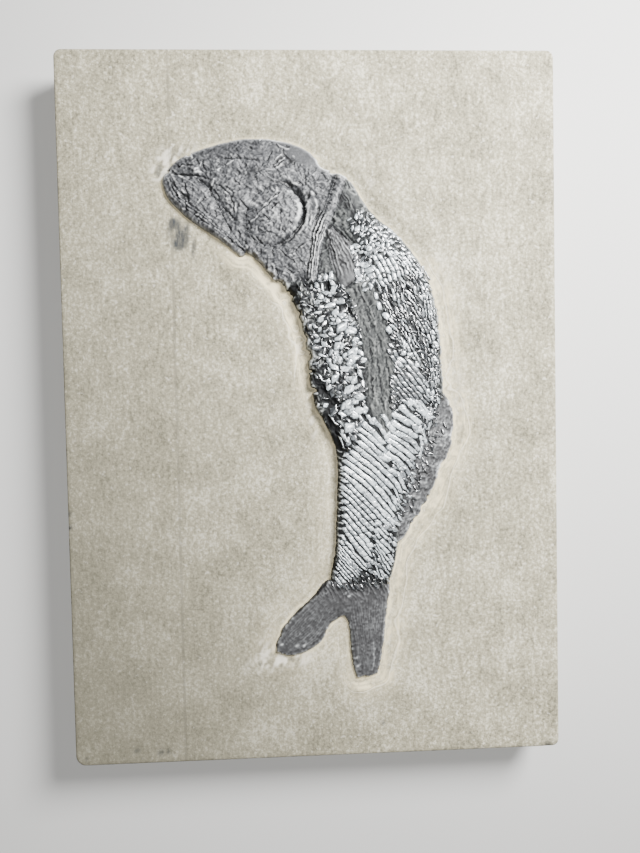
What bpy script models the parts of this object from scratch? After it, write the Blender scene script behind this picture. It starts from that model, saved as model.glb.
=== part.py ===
"""Fossil fish slab: a crushed bony fish, bent like a bow, lying in a sawn slab of dark shale.

The slab lies flat. The origin is under its middle, on the face that it rests on; +X runs across the slab,
+Y along it towards the fish's head, and +Z up, out of the face that shows the fish.
Places on that face are pairs of millimetres from its middle. The fish lies in a shallow pocket in the stone,
and its bones, scale coat and fins are separate solids, each with a gap of GAP to its neighbours.
"""

import math

import bmesh
import bpy
from mathutils import Vector

MM = 0.001

# The slab
SLAB_WIDTH = 202 * MM
SLAB_LENGTH = 290 * MM
SLAB_THICKNESS = 22 * MM
SLAB_CORNER = 3 * MM       # upright corners, worn round
SLAB_ARRIS = 0.7 * MM      # the sawn edges, rubbed down
TROUGH_DEPTH = 0.7 * MM    # stone scraped away all round the fish
TROUGH_SLOPE = 1.6         # how far the trough's bank runs out for each unit that it rises
POCKET_DEPTH = 2.0 * MM    # how deep the fish sits in the stone

# Fits
GAP = 0.3 * MM
PIECE_FLOOR = SLAB_THICKNESS - POCKET_DEPTH + GAP
SEAT = SLAB_THICKNESS + 0.5 * MM    # where the gill cover and breast fin sit, let into the bones below
ABOVE = SLAB_THICKNESS + 20 * MM    # clear of everything, for the tops of the cutters

# Relief above the slab's face
SKULL_EDGE, SKULL_CROWN = 0.9 * MM, 3.6 * MM
JAW_EDGE, JAW_CROWN = 0.7 * MM, 2.6 * MM
GILL_EDGE, GILL_CROWN = 2.4 * MM, 4.5 * MM
SHOULDER_EDGE, SHOULDER_CROWN = 1.8 * MM, 4.2 * MM
BREAST_FIN_EDGE, BREAST_FIN_CROWN, BREAST_FIN_SLOPE = 2.6 * MM, 4.4 * MM, 0.6 * MM
BELLY_EDGE, BACK_EDGE, FLANK_CROWN = 2.4 * MM, 0.8 * MM, 4.6 * MM
SCALE_STEP = 0.8 * MM               # how far a scale's crest stands over the groove beside it
BACK_FIN_EDGE, BACK_FIN_CROWN = 0.5 * MM, 1.3 * MM
TAIL_EDGE, TAIL_CROWN = 0.5 * MM, 1.4 * MM
RAY_STEP = 0.25 * MM                # fin rays
BONE_STEP = 0.35 * MM               # long ridges of the jaw and the shoulder bone
WRINKLE = 0.25 * MM                 # the skull's crumpled roof

# Skull: from the snout back to the nape, roof against mouth, cheek and throat
SKULL_ROOF = [(-56.0, 96.9), (-50.5, 101.2), (-40, 105), (-30, 107.6), (-20, 108.4), (-10, 107),
              (-2, 103.8), (3.6, 99), (7.6, 95.6), (12.4, 93.2)]
SKULL_UNDERSIDE = [(-56.4, 95.8), (-48, 94.4), (-41.3, 90.4), (-37.4, 84), (-34.4, 77), (-30.5, 70.2),
                   (-26.4, 65.3), (-20, 60), (-13, 52), (-0.9, 52.2)]

# Lower jaw: from the chin back to its hinge
JAW_UPPER = [(-57.4, 94.9), (-48.3, 93.8), (-41.9, 90), (-38, 83.8), (-35, 76.8), (-31.1, 70), (-27.2, 64.6)]
JAW_LOWER = [(-58.6, 92.4), (-57.2, 87.6), (-53.6, 83), (-48.5, 78.2), (-42, 73.6), (-35, 68.8), (-28.4, 63)]

# Gill cover: a rounded plate, with a crescent gap behind it
GILL_COVER_FRONT = [(-12.4, 90.5), (-18, 88.6), (-23, 84.6), (-26, 78.8), (-25.8, 72.6), (-22, 67.6),
                    (-15.2, 66.2)]
GILL_COVER_REAR = [(-11.2, 90.5), (-7.2, 88.4), (-4.2, 84.4), (-3.2, 80), (-4.2, 75.4), (-8, 70),
                   (-12.8, 66.6)]
GILL_SLIT = 1.4 * MM                # widest part of the crescent gap

# Shoulder bone: the long strut behind the gill slit
SHOULDER_FRONT = [(10.8, 94.1), (8.4, 87), (5.6, 79.6), (2.6, 72.4), (0.6, 65), (-1.1, 58), (-2.5, 52)]
SHOULDER_REAR = [(14.7, 92.3), (12, 85.4), (9, 78), (5.8, 71.4), (3.9, 65), (2.5, 58), (1.5, 51.6)]

# Breast fin: a fan of rays laid back over the flank
BREAST_FIN_FRONT = [(6.6, 71.6), (6.4, 66), (7.2, 60), (9.4, 54), (12.4, 48)]
BREAST_FIN_REAR = [(8.4, 73), (12.5, 69.6), (16.6, 66), (20, 61), (20.6, 54)]

# Scale coat: each pair of points, one from each list, is one slanting row of scales
BELLY_SIDE = [(15.2, 91.7), (12.6, 85), (9.7, 78), (6.5, 71), (4.5, 64), (3, 57.6), (1.9, 51.3),
              (-4.6, 51), (-11.6, 50.4), (-8.6, 45), (-5.4, 38), (-3.4, 30), (-1.8, 21), (-0.8, 12), (0.8, 3),
              (4.6, -5), (8.3, -13), (9.2, -22), (9.4, -31), (9.1, -40), (8.5, -49), (7.7, -58),
              (7, -64), (6.1, -69)]
BACK_SIDE = [(17, 89.6), (24.6, 78), (34, 70), (42.6, 59.4), (48.6, 47.4), (50.8, 36), (51.8, 24),
             (52.6, 15), (52.6, 8), (51.2, 1.4), (47.6, -6), (44.4, -12.8), (41.4, -19.4), (38.9, -26),
             (37, -32.6), (35.3, -39.4), (34.1, -46), (33.2, -52.4), (32.2, -58.8), (31, -65), (28.4, -71.2),
             (20.6, -71.8), (14, -71.2), (8, -70.6)]
SCALE_ROWS = 48
SCALES_IN_ROW = 8
CREST_PLACE = 0.68                  # the crest's place from one groove to the next: scales overlap backwards

# The strip where the coat is rubbed off, as shares of the coat's length and of a row's length
BARE_START, BARE_END = 0.26, 0.54
BARE_MIDDLE, BARE_HALF_WIDTH = 0.33, 0.09
BARE_DRIFT = 1.3                    # how far its middle moves along the rows for each unit of the coat's length

# Back fin: folded down along the back
BACK_FIN_INNER = [(53.3, 4.6), (48.3, -6), (43.1, -17), (39.2, -27), (36.2, -37), (34.6, -47), (33.5, -55)]
BACK_FIN_OUTER = [(56, 1.6), (57, -7), (55.4, -17), (50.8, -26), (46.6, -36), (41, -45.4), (35.6, -53.4)]

# Tail fin: from the tip of the lower lobe round its root to the tip of the upper lobe
TAIL_OUTSIDE = [(-17.6, -99.6), (-14.5, -91.6), (-8, -84.3), (-1, -78), (4.8, -71.6), (15, -73.2),
                (24.8, -73.9), (29.2, -74.2), (27.8, -84), (26.8, -94), (25.4, -104), (23.4, -110.4)]
TAIL_FORK = [(-12.6, -101.2), (-5.4, -99.9), (0.8, -95.2), (3.8, -89), (7.2, -86.4), (9.4, -85.2),
             (10.7, -84.9), (12.2, -86.6), (13.4, -90.4), (13.9, -97), (14.4, -104.6), (16, -111.6)]

# Trough: the outline of the stone that was scraped down round the fish
TROUGH = [(-63, 97), (-53, 105), (-38, 110), (-20, 113), (-4, 110), (9, 102), (20, 95), (30, 82), (42, 72),
          (52, 58), (56, 42), (58, 20), (62, -6), (58, -22), (51, -40), (40, -55), (34.5, -70), (32, -90),
          (29, -110), (20, -117), (10, -113), (7.6, -98), (3, -101), (-10, -106), (-21, -103), (-18, -90),
          (-9, -80), (-1, -70), (3.6, -58), (4.8, -40), (4, -18), (-2, -4), (-6, 14), (-9, 34), (-16, 46),
          (-28, 58), (-40, 67), (-52, 76), (-61, 86)]
TROUGH_STEPS = 64

# Each piece is a sheet stretched from its first curve to its second, over this many steps along them
CURVES = {
    "skull": (SKULL_UNDERSIDE, SKULL_ROOF, 28),
    "lower_jaw": (JAW_LOWER, JAW_UPPER, 20),
    "gill_cover": (GILL_COVER_FRONT, GILL_COVER_REAR, 16),
    "shoulder_bone": (SHOULDER_FRONT, SHOULDER_REAR, 20),
    "breast_fin": (BREAST_FIN_FRONT, BREAST_FIN_REAR, 10),
    "scale_coat": (BELLY_SIDE, BACK_SIDE, 2 * SCALE_ROWS),
    "back_fin": (BACK_FIN_INNER, BACK_FIN_OUTER, 28),
    "tail_fin": (TAIL_OUTSIDE, TAIL_FORK, 36),
}
IN_THE_STONE = ("skull", "lower_jaw", "shoulder_bone", "scale_coat", "back_fin", "tail_fin")

SHALE, BONE, SCALE, FIN = "shale", "bone", "scale", "fin"
COLOURS = {SHALE: (0.46, 0.44, 0.40), BONE: (0.10, 0.10, 0.105), SCALE: (0.27, 0.28, 0.30),
           FIN: (0.085, 0.085, 0.09)}
ROUGHNESS = {SHALE: 0.85, BONE: 0.5, SCALE: 0.3, FIN: 0.6}


def clear_scene():
    for old in list(bpy.data.objects):
        bpy.data.objects.remove(old, do_unlink=True)


def material(kind):
    found = bpy.data.materials.get(kind)
    if found:
        return found
    made = bpy.data.materials.new(kind)
    made.use_nodes = True
    shader = made.node_tree.nodes["Principled BSDF"]
    shader.inputs["Base Color"].default_value = (*COLOURS[kind], 1)
    shader.inputs["Roughness"].default_value = ROUGHNESS[kind]
    shader.inputs["Metallic"].default_value = 0
    return made


def along(points, t):
    """The place at t, from 0 to 1, on a smooth curve through all the points, in metres."""
    last = len(points) - 1
    span = min(int(t * last), last - 1)
    f = t * last - span
    near = [Vector(points[min(max(i, 0), last)]) for i in range(span - 1, span + 3)]
    before, start, end, after = near
    slope = end - before
    bend = 2 * before - 5 * start + 4 * end - after
    twist = 3 * (start - end) - before + after
    return (start + 0.5 * (slope * f + bend * f ** 2 + twist * f ** 3)) * MM


def round_trip(points, steps):
    """A closed smooth curve through the points, as that many places, in metres."""
    looped = points[-1:] + points + points[:2]
    spans = len(looped) - 1
    first, length = 1 / spans, len(points) / spans
    return [along(looped, first + length * i / steps) for i in range(steps)]


def grown(outline, by):
    """A closed outline moved outwards, or inwards where by is below 0, whichever way round it runs."""
    count = len(outline)
    area = sum(outline[i - 1].cross(outline[i]) for i in range(count))
    side = math.copysign(1, area)
    moved = []
    for i, place in enumerate(outline):
        run = (outline[(i + 1) % count] - outline[i - 1]).normalized()
        moved.append(place + Vector((run.y, -run.x)) * side * by)
    return moved


def swell(edge, top, *shares):
    """The height of a rounded sheet: edge at its rim, and top in its middle. Each share runs from 0 to 1."""
    rise = 1
    for share in shares:
        rise *= math.sin(math.pi * (0.06 + 0.88 * share)) ** 0.6
    return edge + (top - edge) * rise


def add_object(name, bm, kind):
    bmesh.ops.recalc_face_normals(bm, faces=bm.faces)
    mesh = bpy.data.meshes.new(name)
    bm.to_mesh(mesh)
    bm.free()
    made = bpy.data.objects.new(name, mesh)
    bpy.context.scene.collection.objects.link(made)
    if kind:
        mesh.materials.append(material(kind))
    return made


def close_down(bm, floor):
    """Drops a wall from the sheet's rim to the floor, and closes the underside."""
    rim = [edge for edge in bm.edges if edge.is_boundary]
    wall = bmesh.ops.extrude_edge_only(bm, edges=rim)["geom"]
    for item in wall:
        if isinstance(item, bmesh.types.BMVert):
            item.co.z = floor
    underside = [item for item in wall if isinstance(item, bmesh.types.BMEdge) and item.is_boundary]
    bmesh.ops.contextual_create(bm, geom=underside)


def ruled_piece(name, columns, height, kind, place=None, floor=PIECE_FLOOR):
    """A closed solid on the sheet between the piece's two curves.

    Its lines cross the sheet from one curve to the other, and its columns run along them. height(line, column,
    u, v) is the height over the slab's face, and place(line, column) gives u and v where they aren't even.
    """
    front, rear, lines = CURVES[name]
    bm = bmesh.new()
    bmesh.ops.create_grid(bm, x_segments=lines, y_segments=columns, size=0.5)
    for vert in bm.verts:
        line, column = round((vert.co.x + 0.5) * lines), round((vert.co.y + 0.5) * columns)
        u, v = place(line, column) if place else (line / lines, column / columns)
        spot = along(front, u).lerp(along(rear, u), v)
        vert.co = (*spot, SLAB_THICKNESS + height(line, column, u, v))
    close_down(bm, floor)
    return add_object(name, bm, kind)


def bed_of(name):
    """The rim of a piece as a closed outline, moved outwards by the gap."""
    front, rear, lines = CURVES[name]
    there = [along(front, i / lines) for i in range(lines + 1)]
    back = [along(rear, 1 - i / lines) for i in range(lines + 1)]
    return grown(there + back, GAP)


def prism(name, outline, bottom, top, inset=0.0):
    """A hidden cutter. Its underside may be inset from its top."""
    bm = bmesh.new()
    upper = bm.faces.new([bm.verts.new((*place, top)) for place in outline])
    made = bmesh.ops.extrude_face_region(bm, geom=[upper])["geom"]
    lower = [item for item in made if isinstance(item, bmesh.types.BMVert)]
    for vert, place in zip(lower, grown([Vector(v.co.xy) for v in lower], -inset)):
        vert.co = (*place, bottom)
    made = add_object(name, bm, None)
    made.hide_render = True
    made.display_type = "WIRE"
    return made


def cut(piece, cutter):
    step = piece.modifiers.new(cutter.name, "BOOLEAN")
    step.operation = "DIFFERENCE"
    step.solver = "EXACT"
    step.object = cutter


def make_slab():
    bm = bmesh.new()
    bmesh.ops.create_cube(bm, size=1)
    bmesh.ops.scale(bm, verts=bm.verts, vec=(SLAB_WIDTH, SLAB_LENGTH, SLAB_THICKNESS))
    bmesh.ops.translate(bm, verts=bm.verts, vec=(0, 0, SLAB_THICKNESS / 2))
    upright = [edge for edge in bm.edges if abs(edge.verts[0].co.z - edge.verts[1].co.z) > SLAB_THICKNESS / 2]
    bmesh.ops.bevel(bm, geom=upright, offset=SLAB_CORNER, segments=4, profile=0.5, affect="EDGES", material=-1)
    level = [edge for edge in bm.edges if abs(edge.verts[0].co.z - edge.verts[1].co.z) < MM]
    bmesh.ops.bevel(bm, geom=level, offset=SLAB_ARRIS, segments=2, profile=0.5, affect="EDGES", material=-1)
    return add_object("slab", bm, SHALE)


def make_skull():
    def height(line, column, u, v):
        wrinkle = WRINKLE * math.sin(9 * v + 21 * u) * math.cos(26 * u - 4 * v)
        snout = min(1, 6 * u)
        return swell(SKULL_EDGE, SKULL_EDGE + (SKULL_CROWN - SKULL_EDGE + wrinkle) * snout, v)

    return ruled_piece("skull", 14, height, BONE)


def make_lower_jaw():
    columns = 6

    def height(line, column, u, v):
        ridge = BONE_STEP if column % 2 else 0
        return swell(JAW_EDGE, JAW_CROWN, u, v) + ridge

    return ruled_piece("lower_jaw", columns, height, BONE)


def make_gill_cover():
    def height(line, column, u, v):
        return swell(GILL_EDGE, GILL_CROWN, u, v)

    return ruled_piece("gill_cover", 10, height, BONE, floor=SEAT + GAP)


def make_shoulder_bone():
    def height(line, column, u, v):
        ridge = BONE_STEP if column % 2 else 0
        return swell(SHOULDER_EDGE, SHOULDER_CROWN, v) + ridge

    return ruled_piece("shoulder_bone", 6, height, BONE)


def make_breast_fin():
    def height(line, column, u, v):
        ray = RAY_STEP if column % 2 else 0
        return swell(BREAST_FIN_EDGE, BREAST_FIN_CROWN - BREAST_FIN_SLOPE * u, v) + ray

    return ruled_piece("breast_fin", 14, height, FIN, floor=SEAT + GAP)


def make_scale_coat():
    lines, columns = 2 * SCALE_ROWS, 2 * SCALES_IN_ROW

    def place(line, column):
        lean = CREST_PLACE - 0.5 if line % 2 else 0
        stagger = 0.5 if line // 2 % 2 and 0 < column < columns else 0
        return (line + 2 * lean) / lines, (column + stagger) / columns

    def height(line, column, u, v):
        rim = BELLY_EDGE + (BACK_EDGE - BELLY_EDGE) * v
        ends = min(1, 0.25 + 7 * u, 0.4 + 4 * (1 - u))
        worn = BARE_START < u < BARE_END and abs(v - BARE_MIDDLE - BARE_DRIFT * (u - BARE_START)) < BARE_HALF_WIDTH
        crest = line % 2 and (column % 2 or column in (0, columns))
        step = SCALE_STEP * (0.25 if worn else 1) if crest else 0
        return swell(rim, rim + (FLANK_CROWN - rim) * ends, v) + step

    return ruled_piece("scale_coat", columns, height, SCALE, place)


def make_back_fin():
    def height(line, column, u, v):
        ray = RAY_STEP if line % 2 else 0
        return swell(BACK_FIN_EDGE, BACK_FIN_EDGE + (BACK_FIN_CROWN - BACK_FIN_EDGE) * (1 - v), u) + ray

    return ruled_piece("back_fin", 4, height, FIN)


def make_tail_fin():
    def height(line, column, u, v):
        ray = RAY_STEP if column % 2 else 0
        root = 1 - abs(2 * u - 1)
        return swell(TAIL_EDGE, TAIL_EDGE + (TAIL_CROWN - TAIL_EDGE) * (0.5 + root), v) + ray

    return ruled_piece("tail_fin", 8, height, FIN)


def cut_pockets(slab, skull, scale_coat):
    """Lets the fish into the stone, and the gill cover and breast fin into the pieces that they lie on."""
    bank = TROUGH_DEPTH * TROUGH_SLOPE
    trough = grown(round_trip(TROUGH, TROUGH_STEPS), bank)
    top, floor = SLAB_THICKNESS + TROUGH_DEPTH, SLAB_THICKNESS - TROUGH_DEPTH
    cut(slab, prism("trough_cutter", trough, floor, top, inset=2 * bank))
    for name in IN_THE_STONE:
        cutter = prism(name + "_cutter", bed_of(name), SLAB_THICKNESS - POCKET_DEPTH, ABOVE)
        cut(slab, cutter)
        if name == "shoulder_bone":
            cut(skull, cutter)
    gill_bed = bed_of("gill_cover")
    behind = [place + Vector((GILL_SLIT, 0)) for place in gill_bed]
    cut(skull, prism("gill_cover_cutter", gill_bed, SEAT, ABOVE))
    cut(skull, prism("gill_slit_cutter", behind, SEAT, ABOVE))
    cut(scale_coat, prism("breast_fin_cutter", bed_of("breast_fin"), SEAT, ABOVE))


clear_scene()
slab = make_slab()
skull = make_skull()
make_lower_jaw()
make_gill_cover()
make_shoulder_bone()
make_breast_fin()
scale_coat = make_scale_coat()
make_back_fin()
make_tail_fin()
cut_pockets(slab, skull, scale_coat)
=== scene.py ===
# %% [markdown]
# # A fossil fish in a slab of shale
# A fish sank into mud long ago. The mud turned to grey shale, and the fish's bones and enamelled scales
# turned dark. A preparator scraped the stone away round the fish, and sawed and rubbed the block into a flat slab.
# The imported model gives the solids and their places. This lesson dresses them: stone, bone, scales and fins.

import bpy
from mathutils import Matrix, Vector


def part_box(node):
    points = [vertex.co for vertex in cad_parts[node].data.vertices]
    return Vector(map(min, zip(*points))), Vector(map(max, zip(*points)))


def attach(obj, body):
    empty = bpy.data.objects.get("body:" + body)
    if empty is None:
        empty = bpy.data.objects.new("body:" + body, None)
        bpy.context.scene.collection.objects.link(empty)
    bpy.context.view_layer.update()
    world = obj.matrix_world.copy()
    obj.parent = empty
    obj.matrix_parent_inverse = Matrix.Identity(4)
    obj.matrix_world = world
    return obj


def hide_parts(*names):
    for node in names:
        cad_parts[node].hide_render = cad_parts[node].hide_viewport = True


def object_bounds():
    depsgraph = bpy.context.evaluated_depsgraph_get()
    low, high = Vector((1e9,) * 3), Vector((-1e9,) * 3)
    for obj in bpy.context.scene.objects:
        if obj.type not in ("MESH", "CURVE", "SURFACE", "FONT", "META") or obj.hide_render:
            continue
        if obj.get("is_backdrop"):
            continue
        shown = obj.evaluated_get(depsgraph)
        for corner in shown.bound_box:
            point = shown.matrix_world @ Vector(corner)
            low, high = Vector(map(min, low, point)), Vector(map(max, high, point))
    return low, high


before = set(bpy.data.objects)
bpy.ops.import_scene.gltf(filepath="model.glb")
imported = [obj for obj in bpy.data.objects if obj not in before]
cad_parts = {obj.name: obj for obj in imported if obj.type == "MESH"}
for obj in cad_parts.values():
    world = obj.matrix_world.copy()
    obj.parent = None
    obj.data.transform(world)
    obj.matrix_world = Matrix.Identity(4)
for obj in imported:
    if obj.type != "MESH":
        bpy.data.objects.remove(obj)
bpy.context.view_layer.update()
print("solids to dress:", sorted(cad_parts))

# %% Tools and units
import math
import random

import bmesh
import bpy
import numpy as np
from mathutils import Matrix, Vector
from mathutils.bvhtree import BVHTree
from mathutils.kdtree import KDTree

MM = 0.001
slab_low, slab_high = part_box("slab")
TOP = slab_high.z
slab_size = slab_high - slab_low
print(f"slab {slab_size.x / MM:.0f} x {slab_size.y / MM:.0f} mm, face at {TOP / MM:.1f} mm")

# %% [markdown]
# ## Camera, floor and light
# The slab lies flat and is looked at from straight above, from about 26 cm, a little off its middle.
# The camera comes first, because every later choice of size is made for what it shows.

# %% The camera
WIDE, TALL = 640, 853        # the render's width and height
SENSOR = 36                  # millimetres, along its longer side
CAMERA_OFFSET = (-0.0089, 0.0012, 0.2626)      # metres from the middle of the slab's face
CAMERA_TILT = (-1.8, -2.45, -1.15)             # degrees
camera_data = bpy.data.cameras.new("camera")
camera_data.sensor_width = SENSOR
camera_data.lens = SENSOR * WIDE / TALL
camera = bpy.data.objects.new("camera", camera_data)
camera.location = (*CAMERA_OFFSET[:2], TOP + CAMERA_OFFSET[2])
camera.rotation_euler = [math.radians(angle) for angle in CAMERA_TILT]
bpy.context.scene.collection.objects.link(camera)
bpy.context.scene.camera = camera
print(f"camera {camera.location.z / MM:.0f} mm above the floor")

# %% [markdown]
# Studio light for low relief is large and soft, so that the dark bone takes broad reflections, but one lamp
# stands lower at the right and rakes over the face: the relief shows by its shadows, which fall to the left.

# %% Lamps


def softbox(name, place, size, power, aim=(0, 0, 0)):
    """An area lamp, size across, that looks at a point."""
    data = bpy.data.lights.new(name, "AREA")
    data.shape, data.size, data.energy = "DISK", size, power
    lamp = bpy.data.objects.new(name, data)
    lamp.location = place
    lamp.rotation_euler = (Vector(aim) - Vector(place)).to_track_quat("-Z", "Y").to_euler()
    bpy.context.scene.collection.objects.link(lamp)


softbox("key_lamp", (0.25, 0.22, 0.33), 0.20, 7.5)
softbox("sky_lamp", (0.10, -0.02, 0.90), 0.18, 4.4)
world = bpy.data.worlds.new("room")
bpy.context.scene.world = world
world.use_nodes = True
background = world.node_tree.nodes["Background"]
background.inputs["Color"].default_value = (0.86, 0.87, 0.88, 1)
background.inputs["Strength"].default_value = 0.10      # enough to lift the shadows from black

# %% [markdown]
# ## Helpers for every material
# Colours are written as the hex values seen on a screen. Blender's nodes want linear light, so one function
# turns them. Another adds a node, with its settings and its links. A node is handed on as it is, and stands for
# its first output. The same links reach the shader at the end of each material.

# %% Colour and node helpers


def linear(hex_colour):
    """'#rrggbb' as linear red, green, blue and an alpha of 1."""
    shares = [int(hex_colour[i:i + 2], 16) / 255 for i in (1, 3, 5)]
    return (*(s / 12.92 if s <= 0.04045 else ((s + 0.055) / 1.055) ** 2.4 for s in shares), 1.0)


def connect(node, inputs):
    """Fills a node's inputs. Each is a value, an output, or a node that stands for its first output."""
    for name, value in inputs.items():
        if isinstance(value, bpy.types.Node):
            value = value.outputs[0]
        if isinstance(value, bpy.types.NodeSocket):
            node.id_data.links.new(value, node.inputs[name])
        else:
            node.inputs[name].default_value = value


def add(material, kind, inputs, stops=(), **settings):
    """Adds a node with its inputs filled. Stops are a colour ramp's (place, '#rrggbb') pairs."""
    node = material.node_tree.nodes.new("ShaderNode" + kind)
    for name, value in settings.items():
        setattr(node, name, value)
    connect(node, inputs)
    for k, (place, colour) in enumerate(stops):
        marks = node.color_ramp.elements
        mark = marks[k] if k < len(marks) else marks.new(place)
        mark.position, mark.color = place, linear(colour)
    return node


def new_material(name):
    """A material and its Principled shader."""
    made = bpy.data.materials.new(name)
    made.use_nodes = True
    return made, made.node_tree.nodes["Principled BSDF"]


print("shale grey in linear light:", [round(c, 3) for c in linear("#c8c4ba")[:3]])

# %% The floor
floor_bm = bmesh.new()
bmesh.ops.create_grid(floor_bm, x_segments=1, y_segments=1, size=1.5)
floor_mesh = bpy.data.meshes.new("floor")
floor_bm.to_mesh(floor_mesh)
floor_bm.free()
floor = bpy.data.objects.new("floor", floor_mesh)
bpy.context.scene.collection.objects.link(floor)
floor_paint, shader = new_material("matt_pale_board")
connect(shader, {"Base Color": linear("#d9d8d5"), "Roughness": 0.9})
floor_mesh.materials.append(floor_paint)
floor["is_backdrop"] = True
print("floor laid")

# %% [markdown]
# ## A relief map of the fish
# A crushed fish is low relief: one height over each point of the face. So its shape is worked out as a map, a
# number for every third of a millimetre, and the pieces are sheets that are raised to it, as a sculptor raises a
# medal. Rays dropped on the solids give the ground form. Bones, cracks and folds are then drawn on it as strokes.

# %% The map's grid
CELL = 0.3      # millimetres from one point of the map to the next
MARGIN = 14     # millimetres of stone round the fish that the map also covers
FISH = ["skull", "lower_jaw", "gill_cover", "shoulder_bone", "breast_fin", "scale_coat", "back_fin", "tail_fin"]
boxes = [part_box(name) for name in FISH]
west = math.floor(min(low.x for low, high in boxes) / MM) - MARGIN
south = math.floor(min(low.y for low, high in boxes) / MM) - MARGIN
across = round((max(high.x for low, high in boxes) / MM + MARGIN - west) / CELL)
upward = round((max(high.y for low, high in boxes) / MM + MARGIN - south) / CELL)
X, Y = np.meshgrid(west + CELL * np.arange(across), south + CELL * np.arange(upward), indexing="ij")
print(f"map of {across} x {upward} points")

# %% Rays dropped on a solid


def drop_rays(name, shift=0.0):
    """Heights in mm over the slab's face where rays hit a solid from above, and NaN elsewhere."""
    tree = BVHTree.FromObject(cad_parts[name], bpy.context.evaluated_depsgraph_get())
    low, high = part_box(name)
    heights = np.full(X.shape, np.nan)
    first = [int((c / MM - start) / CELL) - 1 for c, start in ((low.x, west), (low.y, south))]
    last = [int((c / MM - start) / CELL) + 2 for c, start in ((high.x, west), (high.y, south))]
    down = Vector((0, 0, -1))
    for i in range(max(0, first[0]), min(across, last[0])):
        for j in range(max(0, first[1]), min(upward, last[1])):
            hit = tree.ray_cast(Vector(((X[i, j] + shift) * MM, (Y[i, j] + shift) * MM, 0.1)), down)[0]
            if hit:
                heights[i, j] = (hit.z - TOP) / MM
    return heights


ground = np.full(X.shape, -np.inf)
owner = np.full(X.shape, -1)
best = np.full(X.shape, -np.inf)
for index, name in enumerate(FISH):
    ground = np.fmax(ground, drop_rays(name))
    middle = drop_rays(name, CELL / 2)
    higher = np.nan_to_num(middle, nan=-np.inf) > best
    owner[higher], best[higher] = index, middle[higher]
stone_top = drop_rays("slab")
print("points on the fish:", int(np.isfinite(ground).sum()))

# %% [markdown]
# The solids keep a small gap between each other. On the fossil they touch, so every solid's ground grows by two
# points, and a blur takes away the solids' flat facets.

# %% Close the gaps and soften the ground


def blurred(field, size):
    """The field averaged over about size millimetres."""
    for _ in range(max(1, round(2 * (size / CELL) ** 2))):
        for axis in (0, 1):
            field = (np.roll(field, 1, axis) + 2 * field + np.roll(field, -1, axis)) / 4
    return field


def eased(field, start, end):
    """0 before start, 1 after end, and smooth in between."""
    t = np.clip((field - start) / (end - start), 0, 1)
    return t * t * (3 - 2 * t)


for _ in range(2):
    for axis in (0, 1):
        for step in (1, -1):
            beside = np.roll(owner, step, axis)
            owner = np.where((owner < 0) & (beside >= 0), beside, owner)
above, below = owner, owner
for _ in range(8):      # a gap of up to 2.4 mm between one solid and the next one down is filled too
    above = np.where(above < 0, np.roll(above, -1, 1), above)
    below = np.where(below < 0, np.roll(below, 1, 1), below)
owner = np.where((owner < 0) & (above >= 0) & (below >= 0) & (above != below), above, owner)
known = np.isfinite(ground)
share = blurred(known, 0.9)
ground = blurred(np.where(known, ground, 0.0), 0.9) / np.maximum(share, 1e-6)
print("highest ground:", round(float(ground[owner >= 0].max()), 2), "mm")

# %% Distance from the fish's outline
inside = owner >= 0
corner_inside = inside & np.roll(inside, 1, 0) & np.roll(inside, 1, 1) & np.roll(np.roll(inside, 1, 0), 1, 1)
corner_outside = ~(inside | np.roll(inside, 1, 0) | np.roll(inside, 1, 1) | np.roll(np.roll(inside, 1, 0), 1, 1))
rim_points = np.argwhere(~corner_inside & ~corner_outside)
rim_tree = KDTree(len(rim_points))
for index, (i, j) in enumerate(rim_points):
    rim_tree.insert((X[i, j], Y[i, j], 0), index)
rim_tree.balance()
depth = np.zeros(X.shape)     # millimetres inside the outline, and below 0 outside it
for i in range(across):
    for j in range(upward):
        if corner_inside[i, j] or corner_outside[i, j]:
            away = rim_tree.find((X[i, j], Y[i, j], 0))[2]
            depth[i, j] = away if corner_inside[i, j] else -away
depth = blurred(depth, 0.5)
print(f"the fish is up to {2 * depth.max():.0f} mm wide")

# %% [markdown]
# Nature is never smooth, so one more tool is needed: lumps, a field of random hills of a given size. Where its
# hills and valleys change sign runs a net of thin lines, which serves for creases.

# %% Random lumps and creases


def lumps(x, y, size, seed):
    """Smooth random lumps from -1 to 1, about size across, at the places x, y."""
    period = 128      # after so many lumps the field repeats
    table = np.random.default_rng(seed).uniform(-1, 1, (period, period))
    i, j = np.floor(x / size).astype(int), np.floor(y / size).astype(int)
    f, g = x / size - i, y / size - j
    f, g = f * f * (3 - 2 * f), g * g * (3 - 2 * g)
    a, b, c, d = (table[(i + m) % period, (j + n) % period] for n in (0, 1) for m in (0, 1))
    return (a * (1 - f) + b * f) * (1 - g) + (c * (1 - f) + d * f) * g


def turned(angle, stretch=1.0):
    """The map's places along and across a direction in degrees, with the first squeezed by stretch."""
    c, s = math.cos(math.radians(angle)), math.sin(math.radians(angle))
    return (X * c + Y * s) / stretch, Y * c - X * s


def creased(x, y, size, seed, sharp=0.6):
    """A field from 0 to 1 that drops to 0 in a net of thin creases, about size apart."""
    field = lumps(x, y, size, seed) + 0.35 * lumps(x, y, 0.45 * size, seed + 50)
    return np.minimum(1, np.abs(field) * 2.6) ** sharp


def wrinkled(angle, stretch, size, seed, bend=1.0):
    """Folds that run about one way and bend: 1 on their sharp crests, and -1 in the hollows between."""
    c, s = math.cos(math.radians(angle)), math.sin(math.radians(angle))
    x, y = X + bend * lumps(X, Y, 3 * size, seed + 1), Y + bend * lumps(X, Y, 3 * size, seed + 2)
    along, across_it = (x * c + y * s) / stretch, y * c - x * s
    return 1 - 2 * np.minimum(1, 1.5 * np.abs(lumps(along, across_it, size, seed)
                                              + 0.4 * lumps(along, across_it, 0.45 * size, seed + 3))) ** 0.7


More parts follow.
